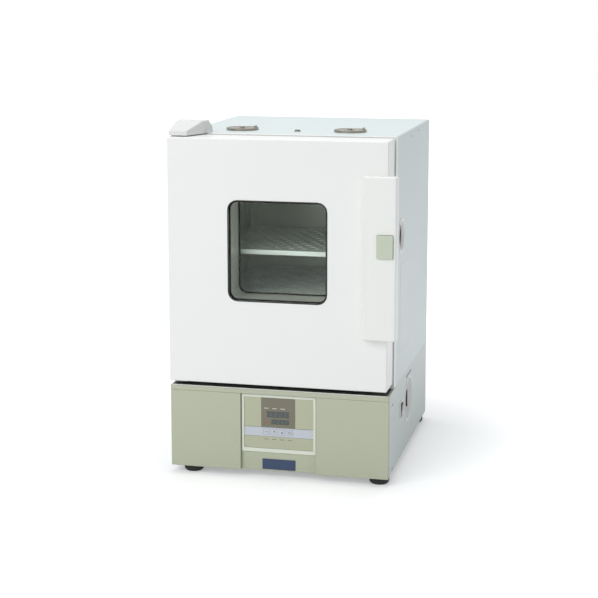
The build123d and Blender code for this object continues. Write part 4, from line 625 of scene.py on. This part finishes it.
# %% Dress the CAD nodes
FINISHES = (
    (WHITE_ENAMEL, ("door_shell", "front_frame")),
    (SHADED_SIDE_ENAMEL, ("outer_shell", "back_panel")),
    (BASE_ENAMEL_IN_PAINTED_SHADE, ("base_casing",)),
    (KHAKI_ENAMEL, ("base_top_rail", "base_front_left", "base_front_right", "control_column")),
    (LINER_STEEL, ("chamber_liner", "chamber_ceiling", "window_tunnel", "floor_plate")),
    (SHELF_STEEL, ("shelf_lower", "shelf_upper", "shelf_rails", "shelf_clips", "temperature_probe")),
    (DOOR_STEEL, ("door_liner",)),
    (VENT_STEEL, ("vent_collar_left", "vent_collar_right", "vent_damper_left", "vent_damper_right",
                  "thermometer_sleeve")),
    (HEATER_STEEL, ("heaters",)),
    (ZINC_SHEET, ("base_tray", "cabinet_floor", "hinge_bracket_top", "hinge_bracket_bottom")),
    (COVER_PLASTIC, ("hinge_cover",)),
    (WHITE_PLASTIC, ("handle", "port_sleeve", "dial_dish", "switch_frame")),
    (CREAM_PLASTIC, ("controller_housing",)),
    (BUTTON_PLASTIC, ("latch_button",)),
    (KEY_PLASTIC, ("key_mode", "key_down", "key_up", "key_set")),
    (BLACK_PLASTIC, ("power_inlet", "switch_rocker", "overheat_dial", "relay")),
    (GREY_PLASTIC, ("terminal_block", "overheat_thermostat")),
    (BLACK_RUBBER, ("feet", "pane_seals", "port_plug")),
    (PLUG_RUBBER, ("thermometer_plug",)),
    (GASKET_RUBBER, ("door_gasket",)),
    (WOOL, ("insulation", "door_insulation")),
    (BOARD_GREEN, ("control_board",)),
    (BRONZE, ("hinge_bushes",)),
    (MAGNET_BLACK, ("magnet_catch",)),
    (WINDOW_GLASS, ("outer_pane", "inner_pane")),
    (PRINTED_FILM, ("control_overlay",)),
    (DISPLAY_DARK, ("displays",)),
)

dressed = set()
for material, names in FINISHES:
    for name in names:
        piece = nodes[name]
        if not piece.material_slots:
            piece.data.materials.append(material)
        for material_slot in piece.material_slots:
            material_slot.material = material
        dressed.add(name)
print("nodes without a finish:", sorted(set(nodes) - dressed))

# %% [markdown]
# New pieces start as bmesh shapes. Two starting forms cover nearly all of them: a plate with round
# corners, which is a cube whose four edges along its thickness are bevelled, and a ring of the
# same outline. Each finished piece keeps its object at the origin, with its place in its mesh.

# %% Helpers for new pieces
ALIGNED = 0.99
FACING = 0.9
MERGE_DISTANCE = 1e-7


def corner_edges(bm, verts, axis):
    """The edges of a new box that run along an axis."""
    chosen = set(verts)
    found = []
    for edge in bm.edges:
        if all(vert in chosen for vert in edge.verts):
            along = edge.verts[1].co - edge.verts[0].co
            if abs(along[axis]) > ALIGNED * along.length:
                found.append(edge)
    return found


def add_plate(bm, low, high, thin_axis, corner=0.0, segments=4):
    """A box between two corners, its edges along the thin axis rounded."""
    centre = (low + high) / 2
    size = high - low
    form = Matrix.Translation(centre) @ Matrix.Diagonal((*size, 1.0))
    made = bmesh.ops.create_cube(bm, size=1.0, matrix=form)["verts"]
    if corner:
        bmesh.ops.bevel(bm, geom=corner_edges(bm, made, thin_axis), offset=corner, segments=segments,
                        profile=0.5, affect="EDGES", material=-1)


def add_ring(bm, low, high, thin_axis, corner, wall):
    """A rounded rectangular ring: a plate without its two large faces, thickened inwards."""
    part = bmesh.new()
    add_plate(part, low, high, thin_axis, corner)
    part.normal_update()
    caps = [face for face in part.faces if abs(face.normal[thin_axis]) > FACING]
    bmesh.ops.delete(part, geom=caps, context="FACES")
    bmesh.ops.recalc_face_normals(part, faces=part.faces)
    bmesh.ops.solidify(part, geom=part.faces[:], thickness=wall)
    join_into(bm, part)


def join_into(bm, part):
    """Adds a finished part to a piece and frees it."""
    mesh = bpy.data.meshes.new("part")
    part.to_mesh(mesh)
    part.free()
    bm.from_mesh(mesh)
    bpy.data.meshes.remove(mesh)


def keep_piece(bm, name, material, body):
    """Turns a bmesh into an object that rides on a body."""
    bmesh.ops.remove_doubles(bm, verts=bm.verts, dist=MERGE_DISTANCE)
    bmesh.ops.recalc_face_normals(bm, faces=bm.faces)
    mesh = bpy.data.meshes.new(name)
    bm.to_mesh(mesh)
    bm.free()
    mesh.materials.append(material)
    piece = bpy.data.objects.new(name, mesh)
    bpy.context.scene.collection.objects.link(piece)
    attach(piece, body)
    print(name, len(mesh.polygons), "faces")
    return piece


# %% [markdown]
# A bare navy plate with rounded corners and a fine border sits at the foot of the recessed column
# under the controller. Its place comes from the column's face and its height above the floor.

# %% Bare plate on the column
PLATE_SIZE = (64.0, 20.0)
PLATE_THICKNESS = 1.0
PLATE_HEIGHT = 27.5
PLATE_CORNER = 0.6
PLATE_BORDER = 0.5


def make_bare_plate():
    column_y = limits("control_column")[0].y
    half_width, half_height = PLATE_SIZE[0] / 2, PLATE_SIZE[1] / 2
    bm = bmesh.new()
    low = place(-half_width, column_y - PLATE_THICKNESS, PLATE_HEIGHT - half_height)
    high = place(half_width, column_y, PLATE_HEIGHT + half_height)
    add_plate(bm, low, high, 1, PLATE_CORNER * MM, 2)
    front = [face for face in bm.faces if face.normal.y < -FACING]
    bmesh.ops.inset_region(bm, faces=front, thickness=PLATE_BORDER * MM, depth=0.0)
    return keep_piece(bm, "bare_plate", NAVY_PLATE, "cabinet")


make_bare_plate()

# %% [markdown]
# Several small pieces are plain plates: the dark strip under the door, its lip, a blank film. One
# function keeps such a plate between limits in the cabinet's millimetres. A mark printed on a front
# face is an outline in X and Z, one face that is extruded by the thickness of a print.

# %% Plates and marks
PRINT = 0.12


def plate_piece(name, x, y, z, thin_axis, look, corner=0.0):
    """A thin plate on the cabinet, kept as a piece. Its look is a material and a slot name; the slot
    name is not used.
    """
    bm = bmesh.new()
    add_plate(bm, place(x[0], y[0], z[0]), place(x[1], y[1], z[1]), thin_axis, corner * MM)
    return keep_piece(bm, name, look[0], "cabinet")


def add_mark(bm, outline, face_y):
    """A printed mark: an outline in X and Z that stands a print's thickness off a front face."""
    back = bm.faces.new([bm.verts.new(place(x, face_y, z)) for x, z in outline])
    raised = bmesh.ops.extrude_face_region(bm, geom=[back])["geom"]
    front = [item for item in raised if isinstance(item, bmesh.types.BMVert)]
    bmesh.ops.translate(bm, verts=front, vec=(0, -PRINT * MM, 0))


def box_outline(middle, width, height):
    """A rectangle's four corners."""
    x, z = middle
    return [(x - width / 2, z - height / 2), (x + width / 2, z - height / 2),
            (x + width / 2, z + height / 2), (x - width / 2, z + height / 2)]


print("a print stands", PRINT, "mm off its face")

# %% [markdown]
# Under the door, a black rubber strip on the base's rail stands for the shade in the gap: painted
# shade. A white painted lip along the rail's front is a painted highlight of its lit edge. Both follow
# the rail's limits.

# %% Sill
SILL_HEIGHT = 1.2
SILL_LIP = 2.6
STRIP_INSET = 4.0
LIP_INSET = 1.0
STRIP_REAR_GAP = 1.0

rail_low, rail_high = limits("base_top_rail")
sill_z = (rail_high.z, rail_high.z + SILL_HEIGHT)
# Painted shade: a black strip where the gap under the door lies in shadow.
plate_piece("sill_shade_strip", (rail_low.x + STRIP_INSET, rail_high.x - STRIP_INSET),
            (rail_low.y + SILL_LIP, rail_high.y - STRIP_REAR_GAP), sill_z, 2,
            (BLACK_RUBBER, "black_rubber"))
# Painted highlight: a white lip where the rail's front edge catches the light.
plate_piece("sill_highlight_lip", (rail_low.x + LIP_INSET, rail_high.x - LIP_INSET),
            (rail_low.y, rail_low.y + SILL_LIP), sill_z, 2, (WHITE_ENAMEL, "painted_white"))

# %% [markdown]
# A dark rubber bead frames the window on the door's face, and its dark also stands for the shade
# along the opening's edge, painted shade. It is a ring of the window's own outline, and it rides on
# the door.

# %% Window bead
WINDOW_X = (-90.0, 94.0)
WINDOW_Z = (345.0, 530.0)
WINDOW_CORNER = 16.0
BEAD = 2.2
BEAD_PROUD = 0.5


def make_window_bead_and_shade():
    door_y = limits("door_shell")[0].y
    bm = bmesh.new()
    low = place(WINDOW_X[0] - BEAD, door_y - BEAD_PROUD, WINDOW_Z[0] - BEAD)
    high = place(WINDOW_X[1] + BEAD, door_y, WINDOW_Z[1] + BEAD)
    add_ring(bm, low, high, 1, (WINDOW_CORNER + BEAD) * MM, BEAD * MM)
    return keep_piece(bm, "window_bead_and_shade", BLACK_RUBBER, "door")


make_window_bead_and_shade()

# %% [markdown]
# Each key carries a simple sign that says what it does: a dash, a triangle down, a triangle up and a
# loop. A sign rides on its own key's body, so it goes in when the key is pushed.

# %% Signs on the keys
KEYS = ("key_mode", "key_down", "key_up", "key_set")
SIGN_HALF = 2.2
SIGN_RISE = 1.9
DASH = 0.9
STROKE = 0.8
LOOP_OPENING = 0.6


def key_signs(x, z):
    """The outlines round a key's middle, by key."""
    left, right = x - SIGN_HALF, x + SIGN_HALF
    low, high = z - SIGN_RISE, z + SIGN_RISE
    width, height = 2 * SIGN_HALF, 2 * SIGN_RISE
    loop = [box_outline((x, high), width, STROKE), box_outline((x, low), width, STROKE),
            box_outline((left, z), STROKE, height),
            box_outline((right, z - LOOP_OPENING), STROKE, SIGN_RISE)]
    return {
        "key_mode": [box_outline((x, z), width, DASH)],
        "key_down": [[(left, high), (right, high), (x, low)]],
        "key_up": [[(left, low), (x, high), (right, low)]],
        "key_set": loop,
    }


for key in KEYS:
    key_low, key_high = limits(key)
    middle = (key_low + key_high) / 2
    sign = bmesh.new()
    for outline in key_signs(middle.x, middle.z)[key]:
        add_mark(sign, outline, key_low.y)
    keep_piece(sign, key + "_sign", MARK_INK, key)

# %% [markdown]
# Each display has four unlit seven-segment digits. A digit is drawn from seven bars that lean a
# little to the right, and a loop sets four digits side by side across the display.

# %% Unlit digits
DISPLAYS = (((-1.3, 125.1), 42.3, 11.6), ((3.0, 110.8), 33.8, 8.9))
DIGITS = 4
DIGIT_PITCHES = 4.4
DIGIT_WIDTH = 0.5
DIGIT_HEIGHT = 0.62
BAR_SHARE = 0.11
BAR_GAP = 0.6
LEAN = 0.12


def add_digit(bm, middle, width, height, face_y):
    """Seven bars round a digit's middle."""
    bar = height * BAR_SHARE
    bars = [((0, rise * height / 2), width - bar * BAR_GAP, bar) for rise in (-1, 0, 1)]
    bars += [((side * width / 2, rise * height / 4), bar, height / 2 - bar)
             for side in (-1, 1) for rise in (-1, 1)]
    for centre, wide, tall in bars:
        outline = box_outline(centre, wide, tall)
        leaning = [(middle[0] + x + LEAN * z, middle[1] + z) for x, z in outline]
        add_mark(bm, leaning, face_y)


def make_digits():
    face = limits("displays")[0].y
    bm = bmesh.new()
    for middle, width, height in DISPLAYS:
        pitch = width / DIGIT_PITCHES
        for index in range(DIGITS):
            at = (middle[0] + (index - (DIGITS - 1) / 2) * pitch, middle[1])
            add_digit(bm, at, pitch * DIGIT_WIDTH, height * DIGIT_HEIGHT, face)
    return keep_piece(bm, "unlit_digits", SEGMENT_DULL, "cabinet")


make_digits()

# %% [markdown]
# The film has a few small marks: pale dashes over the upper display, two amber lenses beside the
# lower one, and short ticks under the strip of keys. They are plain shapes.

# %% Marks on the film
DASH_AT = ((-24.0, 136.5), (-8.0, 136.5), (8.0, 136.5))
DASH_SIZE = (9.0, 1.3)
TICK_HEIGHT = 76.5
TICK_AT = [(sum(corner.x for corner in limits(key)) / 2, TICK_HEIGHT) for key in KEYS]
TICK_SIZE = (8.0, 1.2)
LENS_AT = ((-23.0, 108.5), (-23.0, 113.0))
LENS_SIZE = (5.0, 1.8)


def make_film_marks(name, middles, size, material):
    """Marks of one size on the film, kept as one piece."""
    film_y = limits("control_overlay")[0].y
    bm = bmesh.new()
    for middle in middles:
        add_mark(bm, box_outline(middle, *size), film_y)
    return keep_piece(bm, name, material, "cabinet")


make_film_marks("film_dashes", DASH_AT, DASH_SIZE, WHITE_INK)
make_film_marks("film_ticks", TICK_AT, TICK_SIZE, MARK_INK)
make_film_marks("film_lens", LENS_AT, LENS_SIZE, AMBER_LENS)

# %% [markdown]
# Two films lie on the right side: a pale blank one on the shell, and a dark strip over the
# thermostat's dial. They are as thin as real self-adhesive film.

# %% Side films
FILM = 0.15
SIDE_FILM_Y = (121.0, 234.0)
SIDE_FILM_Z = (223.0, 398.0)
SIDE_FILM_CORNER = 3.0
DIAL_STRIP_Y = (205.0, 268.0)
DIAL_STRIP_Z = (157.5, 162.5)

side_x = limits("outer_shell")[1].x
base_x = limits("base_casing")[1].x
plate_piece("side_film", (side_x, side_x + FILM), SIDE_FILM_Y, SIDE_FILM_Z, 0,
            (LABEL_FILM, "painted_side"), SIDE_FILM_CORNER)
plate_piece("dial_strip", (base_x, base_x + FILM), DIAL_STRIP_Y, DIAL_STRIP_Z, 0,
            (STRIP_FILM, "painted_side"))

# %% [markdown]
# Screws hold the folded sheets. A head is a short cone whose outer cap is inset and sunk, which
# gives it a socket. The right side has two sizes of them, and the back panel a row round its edge.

# %% Screws
SCREW_SEGMENTS = 20
SCREW_TAPER = 0.8
SOCKET_RIM = 0.35
SOCKET_DEPTH = 0.5
BASE_SCREW = (2.6, 1.3)
SHELL_SCREW = (1.8, 0.8)
BASE_SCREWS_YZ = ((40.0, 148.5), (43.0, 24.0))
SHELL_SCREWS_YZ = ((230.0, 634.0), (325.0, 638.0))
REAR_SCREW_INSET = 12.0


def add_screw(bm, centre, outward, size):
    """A low screw head of a radius and a height, with a socket, on a face that looks outward."""
    radius, height = (length * MM for length in size)
    outward = Vector(outward)
    turn = outward.to_track_quat("Z", "Y").to_matrix().to_4x4()
    form = Matrix.Translation(centre + outward * height / 2) @ turn
    made = bmesh.ops.create_cone(bm, cap_ends=True, segments=SCREW_SEGMENTS, radius1=radius,
                                 radius2=radius * SCREW_TAPER, depth=height, matrix=form)["verts"]
    bm.normal_update()
    chosen = set(made)
    cap = [face for face in bm.faces
           if face.normal.dot(outward) > ALIGNED and all(vert in chosen for vert in face.verts)]
    bmesh.ops.inset_region(bm, faces=cap, thickness=radius * SOCKET_RIM, depth=0.0)
    socket = list({vert for face in cap for vert in face.verts})
    bmesh.ops.translate(bm, verts=socket, vec=-outward * height * SOCKET_DEPTH)


def make_side_screws():
    bm = bmesh.new()
    for y, z in BASE_SCREWS_YZ:
        add_screw(bm, place(base_x, y, z), (1, 0, 0), BASE_SCREW)
    for y, z in SHELL_SCREWS_YZ:
        add_screw(bm, place(side_x, y, z), (1, 0, 0), SHELL_SCREW)
    return keep_piece(bm, "side_screws", SCREW_STEEL, "cabinet")


def make_rear_screws():
    low, high = limits("back_panel")
    across = high.x - REAR_SCREW_INSET
    middle = (low + high) / 2
    reach = (high.z - low.z) / 2 - REAR_SCREW_INSET
    bm = bmesh.new()
    for side in (-1, 0, 1):
        for rise in (-1, 0, 1):
            if (side, rise) != (0, 0):
                at = place(side * across, high.y, middle.z + rise * reach)
                add_screw(bm, at, (0, 1, 0), BASE_SCREW)
    return keep_piece(bm, "rear_screws", SCREW_STEEL, "cabinet")


make_side_screws()
make_rear_screws()

# %% [markdown]
# The world behind the oven is white to the camera, to reflections and through glass, and it lights
# the oven more softly than that. The Light Path node tells the two uses apart.

# %% World
WORLD_LIGHT = 0.42
SKY = (0.94, 0.97, 1.0, 1.0)
WHITE = (1.0, 1.0, 1.0, 1.0)


def build_world():
    world = bpy.data.worlds.new("Studio")
    bpy.context.scene.world = world
    world.use_nodes = True
    tree = world.node_tree
    seen = tree.nodes["Background"]
    seen.inputs["Color"].default_value = WHITE
    seen.inputs["Strength"].default_value = 1.0
    lit = add_node(tree, "ShaderNodeBackground", Color=SKY, Strength=WORLD_LIGHT)
    path = add_node(tree, "ShaderNodeLightPath")
    shows = maths(tree, "MAXIMUM", path.outputs["Is Camera Ray"], path.outputs["Is Glossy Ray"])
    shows = maths(tree, "MAXIMUM", shows, path.outputs["Is Transmission Ray"])
    mixed = add_node(tree, "ShaderNodeMixShader", i0=shows, i1=lit.outputs[0], i2=seen.outputs[0])
    tree.links.new(mixed.outputs[0], tree.nodes["World Output"].inputs["Surface"])


build_world()
print("world light", WORLD_LIGHT)

# %% [markdown]
# The floor is matt and pale, and it keeps the shadow under the oven. To the camera it also glows,
# more with distance, until it is as white as the world behind it, so the studio has no horizon.

# %% Floor
FLOOR_HALF = 12.0
FLOOR_GREY = (0.9, 0.9, 0.9, 1.0)
FLOOR_ROUGHNESS = 0.9
GLOW_FROM = 0.3
GLOW_TO = 1.1
GLOW_NEAR = 0.3


def pale_floor():
    """A matt floor that is white to the eye a little way from the oven."""
    material, tree, surface = new_material("Pale floor")
    surface.inputs["Base Color"].default_value = FLOOR_GREY
    surface.inputs["Roughness"].default_value = FLOOR_ROUGHNESS
    where = add_node(tree, "ShaderNodeNewGeometry").outputs["Position"]
    away = add_node(tree, "ShaderNodeVectorMath", {"operation": "LENGTH"}, i0=where).outputs["Value"]
    glow = add_node(tree, "ShaderNodeMapRange", {"interpolation_type": "SMOOTHSTEP"}, i0=away,
                    i1=GLOW_FROM, i2=GLOW_TO, i3=GLOW_NEAR, i4=1.0).outputs[0]
    path = add_node(tree, "ShaderNodeLightPath")
    seen = maths(tree, "MAXIMUM", path.outputs["Is Camera Ray"], path.outputs["Is Glossy Ray"])
    seen = maths(tree, "MAXIMUM", seen, path.outputs["Is Transmission Ray"])
    light = add_node(tree, "ShaderNodeEmission", Strength=maths(tree, "MULTIPLY", seen, glow))
    both = add_node(tree, "ShaderNodeAddShader", i0=surface.outputs[0], i1=light.outputs[0])
    tree.links.new(both.outputs[0], tree.nodes["Material Output"].inputs["Surface"])
    return material


def build_floor():
    bm = bmesh.new()
    bmesh.ops.create_grid(bm, x_segments=1, y_segments=1, size=FLOOR_HALF)
    mesh = bpy.data.meshes.new("floor")
    bm.to_mesh(mesh)
    bm.free()
    floor = bpy.data.objects.new("floor", mesh)
    bpy.context.scene.collection.objects.link(floor)
    mesh.materials.append(pale_floor())
    return floor


build_floor()
print("floor", 2 * FLOOR_HALF, "m wide")

# %% [markdown]
# The lamps are large and far, so their shadows are soft. The key stands at the front left, a weak
# fill at the front right, and a smaller lamp overhead lights the top. Their power is set so that a
# white sheet facing the front renders just below white.

# %% Lamps
def add_lamp(name, location, target, size, power, colour):
    data = bpy.data.lights.new(name, "AREA")
    data.shape = "RECTANGLE"
    data.size, data.size_y = size
    data.energy = power
    data.color = colour
    lamp = bpy.data.objects.new(name, data)
    bpy.context.scene.collection.objects.link(lamp)
    lamp.location = location
    lamp.rotation_euler = (Vector(target) - Vector(location)).to_track_quat("-Z", "Y").to_euler()
    return lamp


MIDDLE = Vector((0.0, 0.0, 0.34))
LAMPS = (
    ("key", (-1.2, -2.6, 2.0), (2.4, 1.8), 45.0, (1.0, 1.0, 1.0)),
    ("fill", (2.6, -1.4, 1.2), (1.6, 1.6), 3.0, (0.9, 0.97, 1.0)),
    ("overhead", (0.0, 0.1, 2.6), (1.0, 1.0), 21.0, (0.96, 0.97, 1.0)),
)
for name, location, size, power, colour in LAMPS:
    add_lamp(name, location, MIDDLE, size, power, colour)
print("lamps:", len(LAMPS))

# %% [markdown]
# The camera stands where the photographer's did: in front and to the right, a little above the
# oven, looking down by nine degrees through a long lens.

# %% Camera
LENS = 90.5
YAW = 13.03
PITCH = 9.24
SHIFT_UP = -0.0987
CAMERA_AT = (654.0, -2651.0, 903.0)


def build_camera():
    data = bpy.data.cameras.new("camera")
    data.lens = LENS
    data.shift_y = SHIFT_UP
    camera = bpy.data.objects.new("camera", data)
    bpy.context.scene.collection.objects.link(camera)
    camera.location = place(*CAMERA_AT)
    camera.rotation_euler = (math.radians(90 - PITCH), 0.0, math.radians(YAW))
    bpy.context.scene.camera = camera


build_camera()
print("lens", LENS, "mm")
bpy.context.scene.view_settings.view_transform = "Standard"
